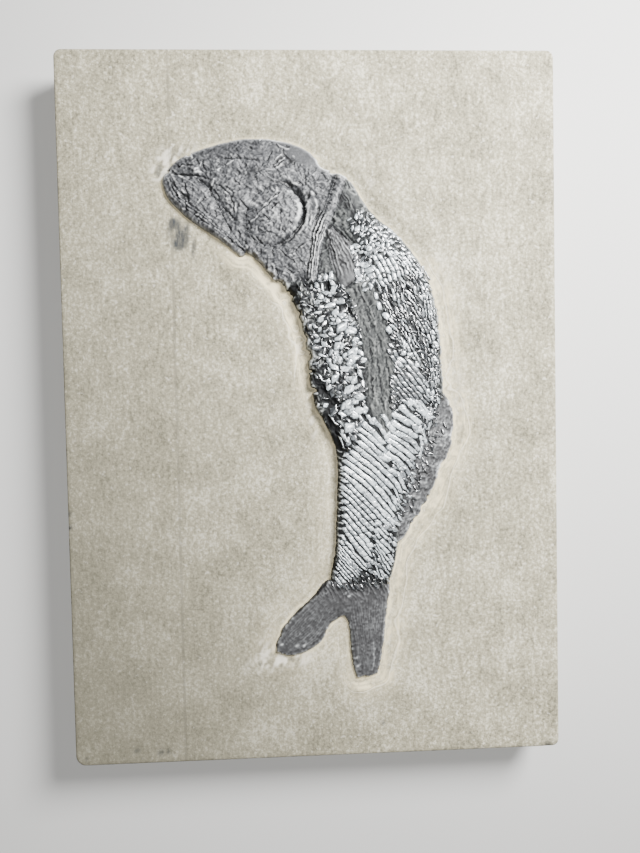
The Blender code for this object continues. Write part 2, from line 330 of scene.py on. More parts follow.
wander_x = 0.30 * lumps(X, Y, 1.7, 1) + 0.16 * lumps(X, Y, 0.8, 61)
wander_y = 0.30 * lumps(X, Y, 1.7, 2) + 0.16 * lumps(X, Y, 0.8, 62)
print("lumps are ready")

# %% [markdown]
# ## Strokes
# A groove or a ridge is a smooth line through a few points, with a width and a depth, like a tool drawn over clay.
# The numbers are millimetres from the middle of the slab's face.

# %% Draw strokes and blobs on a map


def smooth_line(points, spacing=0.8):
    """Points at an even spacing on a smooth curve through the given ones."""
    points = [Vector(p) for p in points]
    made = []
    for i in range(len(points) - 1):
        a, b, c, d = (points[min(max(k, 0), len(points) - 1)] for k in range(i - 1, i + 3))
        steps = max(1, round((c - b).length / spacing))
        for k in range(steps):
            t = k / steps
            made.append(0.5 * (2 * b + (c - a) * t + (2 * a - 5 * b + 4 * c - d) * t ** 2
                               + (3 * (b - c) - a + d) * t ** 3))
    return made + [points[-1]]


def window(low_x, low_y, high_x, high_y):
    """The part of the map between two corners, as slices."""
    i, j = int((low_x - west) / CELL), int((low_y - south) / CELL)
    m, n = int((high_x - west) / CELL) + 2, int((high_y - south) / CELL) + 2
    return slice(max(0, i), min(across, m)), slice(max(0, j), min(upward, n))


def stroke(layer, points, width, amount, taper=True, wander=1.0):
    """Adds amount along a line. width is its full width, where it has faded out. A hand wanders a little."""
    line = smooth_line(points)
    area = window(min(p.x for p in line) - width, min(p.y for p in line) - width,
                  max(p.x for p in line) + width, max(p.y for p in line) + width)
    x, y = X[area] + wander * wander_x[area], Y[area] + wander * wander_y[area]
    nearest, place = np.full(x.shape, 1e9), np.zeros(x.shape)
    for k in range(len(line) - 1):
        a, run = line[k], line[k + 1] - line[k]
        t = np.clip(((x - a.x) * run.x + (y - a.y) * run.y) / max(run.length_squared, 1e-9), 0, 1)
        away = np.hypot(x - a.x - t * run.x, y - a.y - t * run.y)
        closer = away < nearest
        nearest[closer], place[closer] = away[closer], (k + t[closer]) / (len(line) - 1)
    ends = np.clip(6 * np.minimum(place, 1 - place), 0.25, 1) if taper else 1
    layer[area] += amount * ends * np.exp(-(nearest / (0.45 * width)) ** 2)


def blob(layer, x, y, size_x, size_y, amount, turn=0.0, power=2):
    """Adds an oval hump. turn is in degrees, and a power above 2 makes its top flatter."""
    reach = max(size_x, size_y)
    area = window(x - reach, y - reach, x + reach, y + reach)
    c, s = math.cos(math.radians(turn)), math.sin(math.radians(turn))
    u, v = (X[area] - x) * c + (Y[area] - y) * s, (Y[area] - y) * c - (X[area] - x) * s
    layer[area] += amount * np.exp(-((2 * u / size_x) ** 2 + (2 * v / size_y) ** 2) ** (power / 2))


def carve(points, width, deep, darkness, dark_width=None, wander=1.0):
    """Cuts a groove in the relief and paints it dark: mud in the cracks, and painted shade in the furrow along the
    belly.
    """
    stroke(relief, points, width, -deep, wander=wander)
    stroke(dark, points, dark_width or width, darkness, wander=wander)


def raise_edge(points, width, high, paleness, pale_width=None, wander=1.0):
    """Raises a ridge on the relief and paints its crest pale: rubbed bone, and a painted highlight."""
    stroke(relief, points, width, high, wander=wander)
    stroke(pale, points, pale_width or width, paleness, wander=wander)


def belongs(*names):
    """The map's points whose owner is one of the named solids."""
    return np.isin(owner, [FISH.index(name) for name in names])


# The outline is ragged where flesh and scales spilled out, and clean along the bones.
belly_side = eased(-X + 0.30 * (Y - 10), -14, -6) * eased(Y, -62, -40) * eased(-Y, -62, -50)
spill = (0.12 + 0.75 * belly_side + 0.8 * eased(X, 44, 50) + 0.45 * eased(-Y, 60, 90)
         + 0.9 * eased(-Y, 10, 20) * eased(X - 36, 0, 6))
ragged = lumps(X, Y, 2.2, 71) + 0.6 * lumps(X, Y, 0.9, 72)
# Flaps that stand out, and bites between them.
bites = belly_side * np.maximum(0, lumps(X, 1.4 * Y, 3.6, 73) - 0.1)
depth = depth - (np.clip(spill, 0, 1.1) * (0.35 + 0.75 * ragged) + 2.6 * bites) * (depth > -3)
for x, y, long, wide, turn, amount in ((5.4, 98.6, 4.6, 3.0, -40, 2.4), (8.6, 95.4, 2.6, 1.4, 0, 1.0),
                                       (-48.2, 102.6, 1.6, 1.6, 0, 1.0), (-56.6, 96.4, 2.0, 1.2, 30, 0.9),
                                       (-13.5, 109, 6, 1.2, -10, 0.7), (-22.6, 62.6, 4, 2, -40, 0.8),
                                       (2.4, 6.6, 3.6, 1.6, -40, 1.3), (0.4, 15, 3, 1.4, 70, 1.0),
                                       (6.8, -4, 3, 1.4, -70, 0.9), (38, -48, 5, 2, 50, 1.2),
                                       (52, -28, 4, 2.4, 60, 1.2), (57, 2, 5, 2, 80, 0.8),
                                       (-24.4, 62, 3, 1.4, -40, 0.6)):
    blob(depth, x, y, long, wide, -amount, turn, 3)      # bays cut into the outline
stroke(depth, [(8.4, -16), (7.8, -24), (7.2, -34), (6.6, -44), (6.2, -54), (5.6, -62), (4.4, -68)], 3.4, -2.9,
       wander=1.5)
stroke(depth, [(-14, 52), (-10.6, 47), (-7.2, 40), (-5.2, 32), (-3.4, 24)], 4.0, -1.7, wander=1.8)
# The flank sinks gently to the tail, without a step.
tail_slope = eased(Y, -86, -78) * eased(-Y, 62, 70) * eased(depth, 0, 2)
ground = ground * (1 - tail_slope) + blurred(ground, 3.0) * tail_slope
relief = ground.copy()
pale = np.zeros(X.shape)      # rubbed and chalky bone, and painted highlights on crests: all look lighter
dark = np.zeros(X.shape)      # dark matter in hollows, and painted shade along the belly edge and in folds
print("strokes are ready")

# %% [markdown]
# ## The head
# The skull was crushed flat, so its roof bones and cheek are a sheet of creased bone. A smooth ground with fine
# lumps comes first. The cracks and edges that part one bone from the next are then drawn one by one, because
# they are what makes it this head and no other.

# %% Crumpled bone
on_bone = belongs("skull", "lower_jaw", "gill_cover", "shoulder_bone")
# Skin round the breast fin, without scales.
behind_fin = np.exp(-(((X - 8) / 11) ** 2 + ((Y - 66) / 13) ** 2) ** 2)
nape_skin = np.exp(-(((X - 11) / 9) ** 2 + ((Y - 84) / 11) ** 2) ** 2) * eased(-Y - 1.15 * (X - 20), -78, -70)
behind_fin = np.clip(behind_fin + nape_skin, 0, 1)
rough = np.clip(blurred(on_bone, 0.5) + behind_fin * (owner >= 0), 0, 1)
roof = (eased(X + 0.9 * (Y - 100), -7.5, -5.5) * eased(Y + 0.3 * X, 96.5, 98.5)
        + 0.35 * eased(Y - (101.5 - 0.12 * np.abs(X + 28)), -1.5, 2.5))
roof = np.clip(roof, 0, 1)       # the smooth corner of the skull, and the calmer bones along its top
plate = np.exp(-(((X + 7) / 6) ** 2 + ((Y - 79) / 8) ** 2) ** 2)        # the smooth rear of the gill cover
long_folds, cross_folds = wrinkled(-40, 3.0, 2.0, 3, 1.5), wrinkled(52, 2.4, 1.7, 13, 1.2)
fine_folds = wrinkled(-50, 2.2, 0.95, 23)
crumple = (0.14 * long_folds - 0.11 * wrinkled(-30, 2.6, 2.6, 33, 1.5) + 0.10 * cross_folds + 0.12 * fine_folds
           + 0.13 * lumps(X, Y, 2.2, 6) - 0.09 * wrinkled(20, 1.6, 1.2, 36))
crumple -= crumple[on_bone].mean()
calm = (1 - 0.9 * roof) * (1 - 0.15 * plate)
relief += rough * crumple * calm
dark += rough * (0.075 + 0.03 * eased(Y, 92, 102))
pale += rough * calm * (0.07 * lumps(X, Y, 4.5, 7) + 0.08 * np.maximum(cross_folds, 0) * lumps(X, Y, 3, 8))
print("crumpled by", round(float(crumple[on_bone].std()), 2), "mm")

# %% Cracks and creases of the head
# Each is (width, depth, darkness, points).
head_creases = [
    (0.75, 0.6, 0.45, [(-56, 95.4), (-53, 94.9), (-50, 94.9), (-47.5, 94.2), (-45, 94.2), (-42.5, 93.2),
                       (-40.2, 92.3), (-38.6, 91)]),
    (0.8, 0.5, 0.3, [(-53.4, 99.2), (-52, 97.6), (-50, 98.6), (-47.5, 98.1), (-45.4, 97.8)]),
    (0.7, 0.5, 0.3, [(-45.4, 101), (-44.4, 99), (-43.9, 97.6)]),
    (0.8, 0.6, 0.4, [(-42.4, 99), (-42.2, 97.2), (-41, 95.4)]),
    (0.9, 0.5, 0.35, [(-55.3, 96.8), (-54.3, 95.6), (-53, 95.3)]),
    (0.7, 0.6, 0.45, [(-38.2, 90.6), (-36, 89.4), (-33.8, 87.6), (-31.8, 85.6), (-31.9, 84.3)]),
    (0.6, 0.5, 0.35, [(-34, 89.8), (-32.2, 88), (-30.8, 86.6)]),
    (0.7, 0.5, 0.35, [(-38.8, 88.6), (-37.4, 86.6), (-36, 84.6)]),
    (0.8, 0.6, 0.45, [(-38.4, 84.4), (-36.8, 82.7)]),
    (0.8, 0.7, 0.45, [(-35.6, 81.8), (-34, 80.1), (-32.3, 78.6), (-30.6, 76.8)]),
    (0.9, 0.6, 0.45, [(-31, 86.2), (-31.8, 84.2), (-30.6, 82), (-31, 79)]),
    (1.0, 0.6, 0.4, [(-28.5, 84.4), (-26.6, 82.4), (-24.6, 80.4)]),
    (0.8, 0.5, 0.35, [(-22.4, 80.6), (-21.6, 79.2)]),
    (0.9, 0.6, 0.4, [(-39.6, 90), (-39.9, 87.6), (-39, 85.8)]),
    (0.7, 0.5, 0.4, [(-42.5, 86.2), (-41.6, 85.2)]),
    (0.7, 0.4, 0.3, [(-44.6, 82.4), (-43.5, 84), (-42.3, 86)]),
    (0.8, 0.5, 0.35, [(-38, 80.8), (-38, 78.8), (-37.6, 77)]),
    (0.9, 0.5, 0.35, [(-33, 75), (-32.3, 73), (-32.2, 71.2)]),
    (0.8, 0.5, 0.3, [(-29.4, 73), (-28.4, 70.6)]),
    (1.0, 0.5, 0.3, [(-25.6, 76), (-24.2, 74.2), (-24.2, 72.4)]),
    (0.9, 0.5, 0.3, [(-26.6, 68), (-25.8, 66.2)]),
    (1.1, 0.5, 0.28, [(-36.4, 101.2), (-32, 100.4), (-28.6, 101), (-25, 100.4), (-21, 99.9), (-18.4, 99.7)]),
    (0.9, 0.4, 0.3, [(-24.3, 105.4), (-22.8, 104.3)]),
    (0.8, 0.4, 0.3, [(-29.6, 104.6), (-28.2, 103.4)]),
    (0.9, 0.5, 0.35, [(-31, 92.2), (-29, 90.6), (-27.6, 89.6)]),
    (0.8, 0.5, 0.35, [(-22.6, 93.4), (-21, 92)]),
    (0.7, 0.5, 0.4, [(-17.4, 99.4), (-16, 101.4), (-14.8, 103.4)]),
    (0.7, 0.6, 0.4, [(-15.4, 97.2), (-13.4, 98.8), (-11.4, 101)]),
    (0.7, 0.6, 0.4, [(-14.2, 97), (-12.2, 98), (-10.4, 100)]),
    (0.6, 0.5, 0.35, [(-15, 100.2), (-14.8, 98.6), (-14.4, 97.4)]),
    (0.7, 0.5, 0.4, [(-13.6, 106.6), (-12.4, 105.4)]),
    (0.9, 0.6, 0.4, [(-10.3, 104.6), (-10.6, 102.4), (-9.2, 100.8), (-7.4, 99.4)]),
    (0.7, 0.5, 0.35, [(-9.6, 106), (-8, 104.9)]),
    (0.8, 0.5, 0.35, [(-6.3, 98.8), (-6.2, 96.8), (-5.2, 94.6)]),
    (0.7, 0.5, 0.35, [(-16.8, 92), (-14.8, 91.2), (-12, 91.1), (-9.6, 90.9), (-8.4, 89.6)]),
    (0.8, 0.8, 0.6, [(-4.6, 91.2), (-3.2, 89.2)]),
    (0.7, 0.5, 0.35, [(-20.6, 95.6), (-18.8, 93.6)]),
    (0.8, 0.5, 0.35, [(-2.6, 94.4), (-1.8, 92), (-1.6, 89.6)]),
    (0.7, 0.5, 0.3, [(1.6, 90.4), (3.2, 89.2), (5, 88.6)]),
    (0.8, 0.4, 0.3, [(4.2, 95.4), (5.8, 93.4), (7.2, 92.2)]),
    (0.7, 0.5, 0.35, [(-18, 82.2), (-16.2, 83.8), (-14.6, 85), (-13, 86.6)]),
    (0.7, 0.5, 0.35, [(-19.6, 79.8), (-17.4, 81.4), (-15, 83.8)]),
    (0.8, 0.5, 0.4, [(-15.8, 79.8), (-14, 81.4), (-12, 83)]),
    (0.7, 0.5, 0.35, [(-22.4, 76), (-20.6, 77.6), (-19, 79.4)]),
    (0.7, 0.5, 0.35, [(-19.4, 78.2), (-17.8, 76.8), (-16.8, 75.2)]),
    (0.8, 0.4, 0.3, [(-12.2, 80), (-12, 77), (-11.8, 74)]),
    (0.8, 0.5, 0.35, [(-11.8, 73.6), (-11, 71)]),
    (1.0, 0.5, 0.35, [(-8.2, 75), (-7.4, 73.6)]),
    (0.7, 0.4, 0.3, [(-20.4, 70.6), (-18, 71.2), (-15, 70.9), (-12.6, 70.4)]),
    (0.8, 0.5, 0.35, [(-22.4, 69.6), (-20.6, 67.2), (-18.6, 66)]),
    (0.8, 0.6, 0.45, [(-14.4, 65.6), (-12.4, 64), (-10.4, 61.9), (-7.6, 60), (-5, 57.6)]),
    (0.7, 0.5, 0.35, [(-15.1, 65.4), (-15.7, 63.2)]),
    (1.4, 0.6, 0.5, [(-18.3, 59.6), (-18.2, 56.4)]),
    (1.1, 0.7, 0.55, [(-14.6, 57.6), (-14, 55), (-13.2, 52.2)]),
    (1.1, 0.6, 0.5, [(-17, 55.6), (-15.8, 54.4)]),
    (0.9, 0.6, 0.45, [(-11.6, 57.8), (-9.8, 56.2), (-7.6, 55.2)]),
    (0.8, 0.6, 0.45, [(-5.4, 59.9), (-3.6, 59), (-2.4, 57.2), (-1.9, 55)]),
    (0.7, 0.5, 0.4, [(-3, 66.4), (-5, 65.2), (-6.8, 63)]),
    (0.7, 0.4, 0.3, [(-20.2, 65.6), (-20.4, 62.6), (-19.4, 60.2)]),
    (0.9, 0.5, 0.4, [(-1.4, 52.6), (-2.4, 51)]),
]
for width, deep, darkness, points in head_creases:
    carve(points, 0.85 * width, 0.6 * deep, 0.75 * darkness, 0.75 * width)
print(len(head_creases), "creases")

# %% Raised edges and chalky flecks of the head
# Each is (width, height, paleness, points).
head_edges = [
    (1.3, 0.3, 0.9, [(-47.2, 101.5), (-46.6, 101.4)]),
    (0.9, 0.2, 0.9, [(-45.9, 96.6), (-44.2, 96.5)]),
    (0.8, 0.2, 0.9, [(-45.9, 95.5), (-43, 95.2)]),
    (1.2, 0.2, 0.8, [(-52.1, 94.3), (-50.7, 94.2)]),
    (0.8, 0.2, 0.8, [(-46.2, 93.9), (-45.3, 93.6)]),
    (0.7, 0.2, 0.6, [(-43.1, 99.4), (-43.6, 97)]),
    (0.7, 0.2, 0.4, [(-46.6, 100), (-45.6, 98.4)]),
    (0.8, 0.3, 0.7, [(-39.5, 89.6), (-38.6, 91.6), (-37.8, 92.6)]),
    (0.7, 0.3, 0.6, [(-37, 94.8), (-36.2, 96), (-35, 97.2)]),
    (0.7, 0.3, 0.55, [(-33, 97.6), (-31.4, 98.8), (-30.2, 99.8)]),
    (0.7, 0.2, 0.45, [(-31.6, 102.4), (-30.3, 100.2)]),
    (1.4, 0.3, 0.6, [(-52.8, 88), (-52.3, 85.8)]),
    (0.7, 0.3, 0.6, [(-51.2, 88.6), (-50.1, 87)]),
    (0.7, 0.2, 0.45, [(-44, 88.6), (-41.6, 87)]),
    (0.9, 0.2, 0.5, [(-45.2, 83.8), (-44.4, 83.3)]),
    (1.2, 0.2, 0.4, [(-39.8, 82.2), (-39, 80.8)]),
    (0.6, 0.3, 0.5, [(-33.6, 89.2), (-31.2, 86.6)]),
    (0.7, 0.3, 0.5, [(-34.4, 87.6), (-32.6, 86)]),
    (0.8, 0.2, 0.45, [(-33.6, 84.8), (-32.8, 83.8)]),
    (1.1, 0.3, 0.6, [(-30.1, 83), (-29.9, 81), (-29.6, 79)]),
    (1.3, 0.2, 0.35, [(-27, 93.8), (-28.4, 92.6)]),
    (1.2, 0.3, 0.45, [(-21, 90.2), (-19.4, 88.8), (-18.6, 87)]),
    (1.6, 0.2, 0.45, [(-25.4, 83.4), (-22.6, 82.6), (-20.8, 81.2)]),
    (0.7, 0.3, 0.45, [(-14.2, 99.2), (-12, 101.4), (-10.8, 102.6)]),
    (0.6, 0.3, 0.45, [(-12.6, 98.4), (-10.6, 100.2), (-9.8, 101.6)]),
    (0.9, 0.3, 0.5, [(-13.4, 106.8), (-11.4, 105.4), (-9, 104.4), (-7.8, 104.8)]),
    (0.8, 0.2, 0.4, [(-6.9, 101.4), (-6, 101)]),
    (1.1, 0.2, 0.45, [(-18.4, 96.2), (-15.4, 96), (-12.6, 96.8), (-10.6, 98.6)]),
    (1.4, 0.2, 0.4, [(-8.4, 96.4), (-6.4, 95)]),
    (1.3, 0.3, 0.8, [(-6.8, 90.6), (-4.8, 89.8)]),
    (0.8, 0.2, 0.4, [(-8.4, 93.2), (-7.6, 91.8)]),
    (0.9, 0.2, 0.5, [(1.2, 94), (2.4, 93.6)]),
    (1.0, 0.3, 0.75, [(0.4, 87.6), (1.4, 86.2)]),
    (1.1, 0.3, 0.6, [(1.8, 84.8), (2.4, 82), (2, 80)]),
    (0.9, 0.2, 0.5, [(-13.3, 89.4), (-13.3, 86.4)]),
    (0.9, 0.2, 0.35, [(-15.4, 89.2), (-14, 87.2)]),
    (0.8, 0.3, 0.45, [(-20, 80.4), (-16.4, 83.4), (-12.2, 86)]),
    (0.9, 0.3, 0.45, [(-24, 75.4), (-21, 77.4), (-18, 80.4)]),
    (0.8, 0.2, 0.4, [(-5.4, 84.2), (-3.8, 82)]),
    (1.1, 0.2, 0.5, [(-21.8, 73.8), (-21.6, 70.6)]),
    (0.7, 0.2, 0.5, [(-1.6, 73.2), (-2, 71.4)]),
    (0.6, 0.2, 0.4, [(-5, 69.6), (-3.8, 68.4)]),
    (0.8, 0.2, 0.4, [(-24, 70.6), (-22, 68.4), (-20.2, 66.6)]),
    (0.9, 0.2, 0.4, [(-16.4, 59.4), (-15, 57), (-14.8, 55)]),
    (1.4, 0.3, 0.5, [(-12, 54.6), (-10.8, 55.2)]),
    (1.1, 0.3, 0.6, [(-8.6, 54.4), (-7.6, 52.4), (-6.6, 51)]),
    (0.8, 0.2, 0.5, [(-2.6, 59.2), (-2, 58)]),
    (0.8, 0.2, 0.4, [(-9, 62.4), (-7.6, 62), (-6, 63)]),
    (0.8, 0.2, 0.4, [(-26.8, 66.4), (-25.4, 65)]), (0.6, 0.2, 0.6, [(-20, 107.4), (-18.4, 109), (-16.4, 108.4)]),
]
for width, high, paleness, points in head_edges:
    raise_edge(points, 0.9 * width, 0.65 * high, 0.7 * paleness, 0.8 * width)
blob(dark, -21.2, 96.2, 3.4, 2.2, 0.25, 30)
blob(dark, -7.4, 99.2, 3.6, 2.4, 0.3, -25)
blob(dark, -49.6, 85.7, 2.6, 2.2, 0.6)
blob(relief, -49.6, 85.7, 2.6, 2.2, -0.7)
blob(dark, -0.9, 85.6, 2.0, 2.6, 0.5)
blob(relief, -0.9, 85.6, 2.0, 2.6, -0.6)
print(len(head_edges), "edges and flecks")

# %% [markdown]
# The lower jaw is a long bone with ridges side by side. Ridges that run together are drawn as one family: a line
# on each side is given, and the lines between them are blends of the two.

# %% The jaw's long ridges


def between(first, last, share, count=12):
    """The line that lies at a share of the way from one line to another."""
    lines = []
    for points in (first, last):
        line = smooth_line(points, 0.5)
        lines.append([line[round(k * (len(line) - 1) / (count - 1))] for k in range(count)])
    return [tuple(a.lerp(b, share)) for a, b in zip(*lines)]


jaw_rim = [(-58, 92), (-56.6, 87.6), (-53.2, 83.2), (-48.2, 78.6), (-41.8, 74), (-35, 69.2), (-28.6, 63.8)]
jaw_inner = [(-54.6, 93.6), (-52.6, 89), (-49.6, 84.6), (-44.6, 80.8), (-39.6, 76.6), (-33.6, 71.4), (-27.6, 65.4)]
for share, high in ((0.12, 0.25), (0.42, 0.2), (0.72, 0.25), (1.0, 0.2)):
    stroke(relief, between(jaw_rim, jaw_inner, share), 0.8, 0.6 * high)
for share, deep in ((0.27, 0.35), (0.57, 0.4), (0.86, 0.35)):
    carve(between(jaw_rim, jaw_inner, share), 0.6, 0.6 * deep, 0.15, 0.5)
for points in ([(-56.6, 93.6), (-54.6, 90.8), (-52.6, 88.8)], [(-53.8, 93), (-52, 90.8), (-50.4, 89.8)],
               [(-55.6, 91.6), (-54, 87.6), (-52, 84.2)], [(-46.9, 79.8), (-45.1, 77.5), (-42.8, 75.5)],
               [(-43.5, 78.1), (-42.3, 77), (-41.3, 76.2)], [(-43.6, 80.9), (-42, 79.8), (-40.6, 79)]):
    carve(points, 0.6, 0.22, 0.24, 0.5)
for points, width in (([(-49.8, 91), (-49.7, 88.8), (-49.2, 86.6)], 0.9), ([(-51.6, 87.4), (-50.4, 85.8)], 0.8),
                      ([(-50.3, 84.2), (-49.8, 82), (-50.1, 80.2)], 1.0), ([(-49, 85), (-48.3, 83.4)], 0.8),
                      ([(-29.4, 66.4), (-27.8, 64.8), (-27.1, 63.9)], 0.8), ([(-34, 70.2), (-31.4, 67.6)], 0.7)):
    carve(points, width, 0.5, 0.5)
print("jaw drawn")

# %% [markdown]
# The gill cover is the largest smooth bone: a plate that bulges and catches the light. Behind it the gill slit
# is a black crescent, and a smooth band of bone follows the slit.

# %% Gill cover and gill slit
slit = [(-8.8, 90.6), (-6.4, 87.6), (-3.9, 84.8), (-2.7, 82), (-2.5, 79.4), (-3.4, 75.6), (-5.6, 72.4),
        (-9.4, 67.2)]
for points, width in ((slit, 1.3), (slit[1:-1], 1.9), (slit[2:-2], 2.2)):
    carve(points, 0.62 * width, 0.5, 0.40)
for points, width, high in (([(-7.6, 84.6), (-5.4, 83), (-4.4, 80.4), (-4.8, 77.4), (-6.6, 74.4)], 1.6, 0.45),
                            ([(-1.6, 84.8), (-0.9, 82), (-1.1, 79), (-1.9, 75.6), (-3.6, 72.6), (-6.2, 69.2)], 1.2,
                             0.3),
                            ([(0.6, 78), (0.2, 75.6), (-0.6, 73)], 0.7, 0.25)):
    raise_edge(points, width, high, 0.3)
for x, y, size_x, size_y, paleness in ((-6.6, 80.6, 6.0, 8.5, 0.14), (-7.2, 72.6, 3.2, 4, 0.2),
                                       (-14, 77, 5.5, 5.5, 0.14), (-8.4, 86.6, 3, 2.2, 0.3),
                                       (-23, 82.8, 4.4, 3.4, 0.2),
                                       (-14, 70, 12, 5, 0.06), (-19, 87, 7, 5, 0.08), (-10, 76.6, 3, 3, 0.14)):
    blob(pale, x, y, size_x, size_y, paleness, 20)
blob(relief, -9, 78.5, 11, 15, 0.5, 15, 4)
blob(relief, -17, 76, 9, 9, 0.3, 40, 4)
cover = np.exp(-(((X + 11) / 9) ** 2 + ((Y - 77.5) / 10) ** 2) ** 3)      # wrinkled all over, with dark pores
relief += 0.16 * cover * wrinkled(70, 1.6, 1.5, 123)
pale += cover * (0.16 * lumps(X, Y, 2.4, 124) + 0.10 * lumps(X, Y, 1.1, 125))
print("gill slit", len(slit), "points")

# %% [markdown]
# The shoulder bone is a long strut with sharp parallel ridges. The breast fin starts beside it, and its rays are
# thin rods that fan out over the flank.

# %% Shoulder bone and breast fin
strut_front = [(4.4, 79), (2.4, 75.4), (0.9, 71.4), (0, 66), (-0.8, 61), (-2, 55), (-2.2, 52.4)]
strut_rear = [(7, 76), (5.4, 71.6), (3.6, 66.6), (2.6, 62), (2.2, 57), (1.6, 53)]
for share, width, high, paleness in ((0.2, 0.8, 0.35, 0.2), (0.5, 1.0, 0.6, 0.6), (0.78, 0.7, 0.3, 0.1),
                                     (1.0, 0.8, 0.5, 0.45)):
    raise_edge(between(strut_front, strut_rear, share), 0.8 * width, 0.7 * high, 0.45 * paleness, 0.6 * width)
for share, width, deep, darkness in ((0.0, 0.9, 0.8, 0.6), (0.34, 0.7, 0.7, 0.6), (0.66, 0.6, 0.4, 0.25),
                                     (0.9, 0.5, 0.35, 0.3)):
    carve(between(strut_front, strut_rear, share), 0.9 * width, 0.75 * deep, 0.75 * darkness, 0.7 * width)
for points in ([(3.4, 81.4), (3.1, 79), (2.2, 77.4), (1.6, 75.4)], [(4.8, 78.8), (4, 78.4), (3, 77.2)]):
    carve(points, 0.9, 0.7, 0.6, 0.8)
fin_front = [(5.8, 76), (6.2, 68), (7, 62), (8, 57), (9.4, 50)]
fin_rear = [(6.6, 77), (10.6, 73.4), (15, 69), (19.4, 64), (23.4, 58)]
for share, high in ((0.04, 0.18), (0.13, 0.1), (0.24, 0.24), (0.36, 0.12), (0.46, 0.2), (0.58, 0.15), (0.7, 0.25),
                    (0.83, 0.15), (0.95, 0.2)):
    raise_edge(between(fin_front, fin_rear, share), 0.9, high, 0.5 * high, 0.6)
    carve(between(fin_front, fin_rear, share + 0.05), 0.8, 0.9 * high, high, 0.6)
for points in ([(7, 68.2), (8.2, 65.2), (9.2, 62)], [(12.8, 67.6), (15.4, 65.4), (17.8, 63.6), (19, 61.4)],
               [(8.6, 76.6), (9.4, 74.2)], [(9.8, 70.4), (11.6, 68.6)], [(11.4, 59.8), (13.4, 57.4)]):
    carve(points, 0.8, 0.5, 0.5)
for points in ([(14.4, 65.8), (16.8, 63.6), (18.6, 61.8)], [(5.6, 70.4), (5.4, 69)], [(6.8, 71.6), (7.6, 70.6)],
               [(18.6, 64.2), (20, 62.8)], [(17.4, 60.4), (18.6, 59.4)]):
    raise_edge(points, 0.8, 0.3, 0.5)
print("strut and fin rays drawn")

# %% [markdown]
# ## The flank
# Thick enamelled scales cover the flank in slanting rows. They are pieces of their own, laid like tiles on a
# dark bed. Down the middle the scales are gone, and the bed shows as a strip of dark fibrous matter.

# %% The bed under the scales
coat = blurred(belongs("scale_coat"), 0.6)
bare_left = [(1, 56), (11, 51), (15, 45), (18, 35), (20, 25), (20.4, 15), (21, 5), (23.6, -3), (28, -9)]
bare_right = [(21, 61), (24.4, 52), (25.6, 45), (28.4, 35), (31, 25), (32.6, 15), (34, 6), (32.4, -2), (29.6, -9)]
bare = np.zeros(X.shape)
for share in np.linspace(0.12, 0.88, 9):
    stroke(bare, between(bare_left, bare_right, share), 3.2, 1.0)
bare = np.clip(bare, 0, 1) * coat * (Y < 57)
relief -= 0.5 * coat * (1 - bare) * eased(Y, -74, -67)
fibres = 0.6 * wrinkled(108, 3.0, 1.0, 43) - 0.5 * wrinkled(96, 2.6, 1.5, 53) + 0.4 * wrinkled(60, 1.5, 0.8, 63)
scaled = coat * (1 - bare) * (1 - behind_fin)
relief += coat * (0.13 * fibres * bare + 0.10 * lumps(X, Y, 1.1, 13) * (1 - bare))
relief -= 0.35 * bare
bed_folds = wrinkled(-62, 2.4, 1.2, 113)
relief += scaled * 0.20 * bed_folds
# The bed under the scales is dark, less so towards the tail. The folds' hollows get painted shade and their crests
# a painted highlight.
dark += scaled * (0.46 * eased(Y, -77, -66) - 0.16 * bed_folds)
# Painted light: the bed between the scales of the back is lightened to lift the shade that falls between them.
dark -= 0.22 * scaled * eased(X - 20, 0, 6) * eased(Y, 0, 10)
nape_strip = np.zeros(X.shape)
stroke(nape_strip, [(11.4, 93.4), (14.6, 91), (17.4, 87), (20, 82.4)], 8.5, 1.3, taper=False)
dark -= scaled * np.clip(nape_strip, 0, 1) * 0.50
dark += bare * (0.03 - 0.09 * fibres + 0.06 * lumps(X, Y, 5, 14))
# Under the belly the crushed scales are one mass of pale crumbs in black mud.
belly_mass = coat * (1 - bare) * eased(-X + 0.30 * Y, -16.5, -11.5) * eased(Y, -16, -8) * eased(60 - Y, 0, 8)
crumbs = creased(X + wander_x, Y + 1.5 * wander_y, 2.3, 15, 0.8)
relief += belly_mass * 0.50 * (crumbs - 0.5)
pale += belly_mass * (crumbs * (0.24 + 0.38 * lumps(X, Y, 3.2, 16)) - 0.05
                      + 0.18 * eased(Y, 12, 22) * eased(6 - X, 0, 8))
print("bare strip:", round(float(bare.sum() * CELL ** 2)), "square mm")

# %% Long folds in the bare strip
for points in ([(13, 53), (17, 46), (19.6, 38), (22, 30)], [(17, 52), (20, 44), (22.6, 36), (25, 29)],
               [(19, 47), (22, 41), (24.4, 33), (27, 26), (28, 20)], [(22, 28), (23.4, 20), (23.2, 12), (24, 4)],
               [(25, 22), (26.4, 14), (27, 6), (28.4, -2)], [(28.6, 22), (30, 14), (30.6, 6), (30.4, 0)],
               [(24.8, 50), (25.8, 44), (27.4, 38), (29, 33)], [(21.4, 18), (21.6, 10), (22.6, 3)]):
    carve(points, 0.9, 0.18, 0.12, wander=2)
for points in ([(15, 49), (18.4, 42), (21, 34)], [(21, 45), (24, 37), (26.2, 30)],
               [(23.8, 14), (24.6, 6), (25.6, -2)],
               [(28, 12), (28.8, 4), (29.4, -4)], [(24.6, 27), (25, 20), (25.2, 14)]):
    raise_edge(points, 0.9, 0.16, 0.10, 0.7, wander=2)
print("folds drawn")

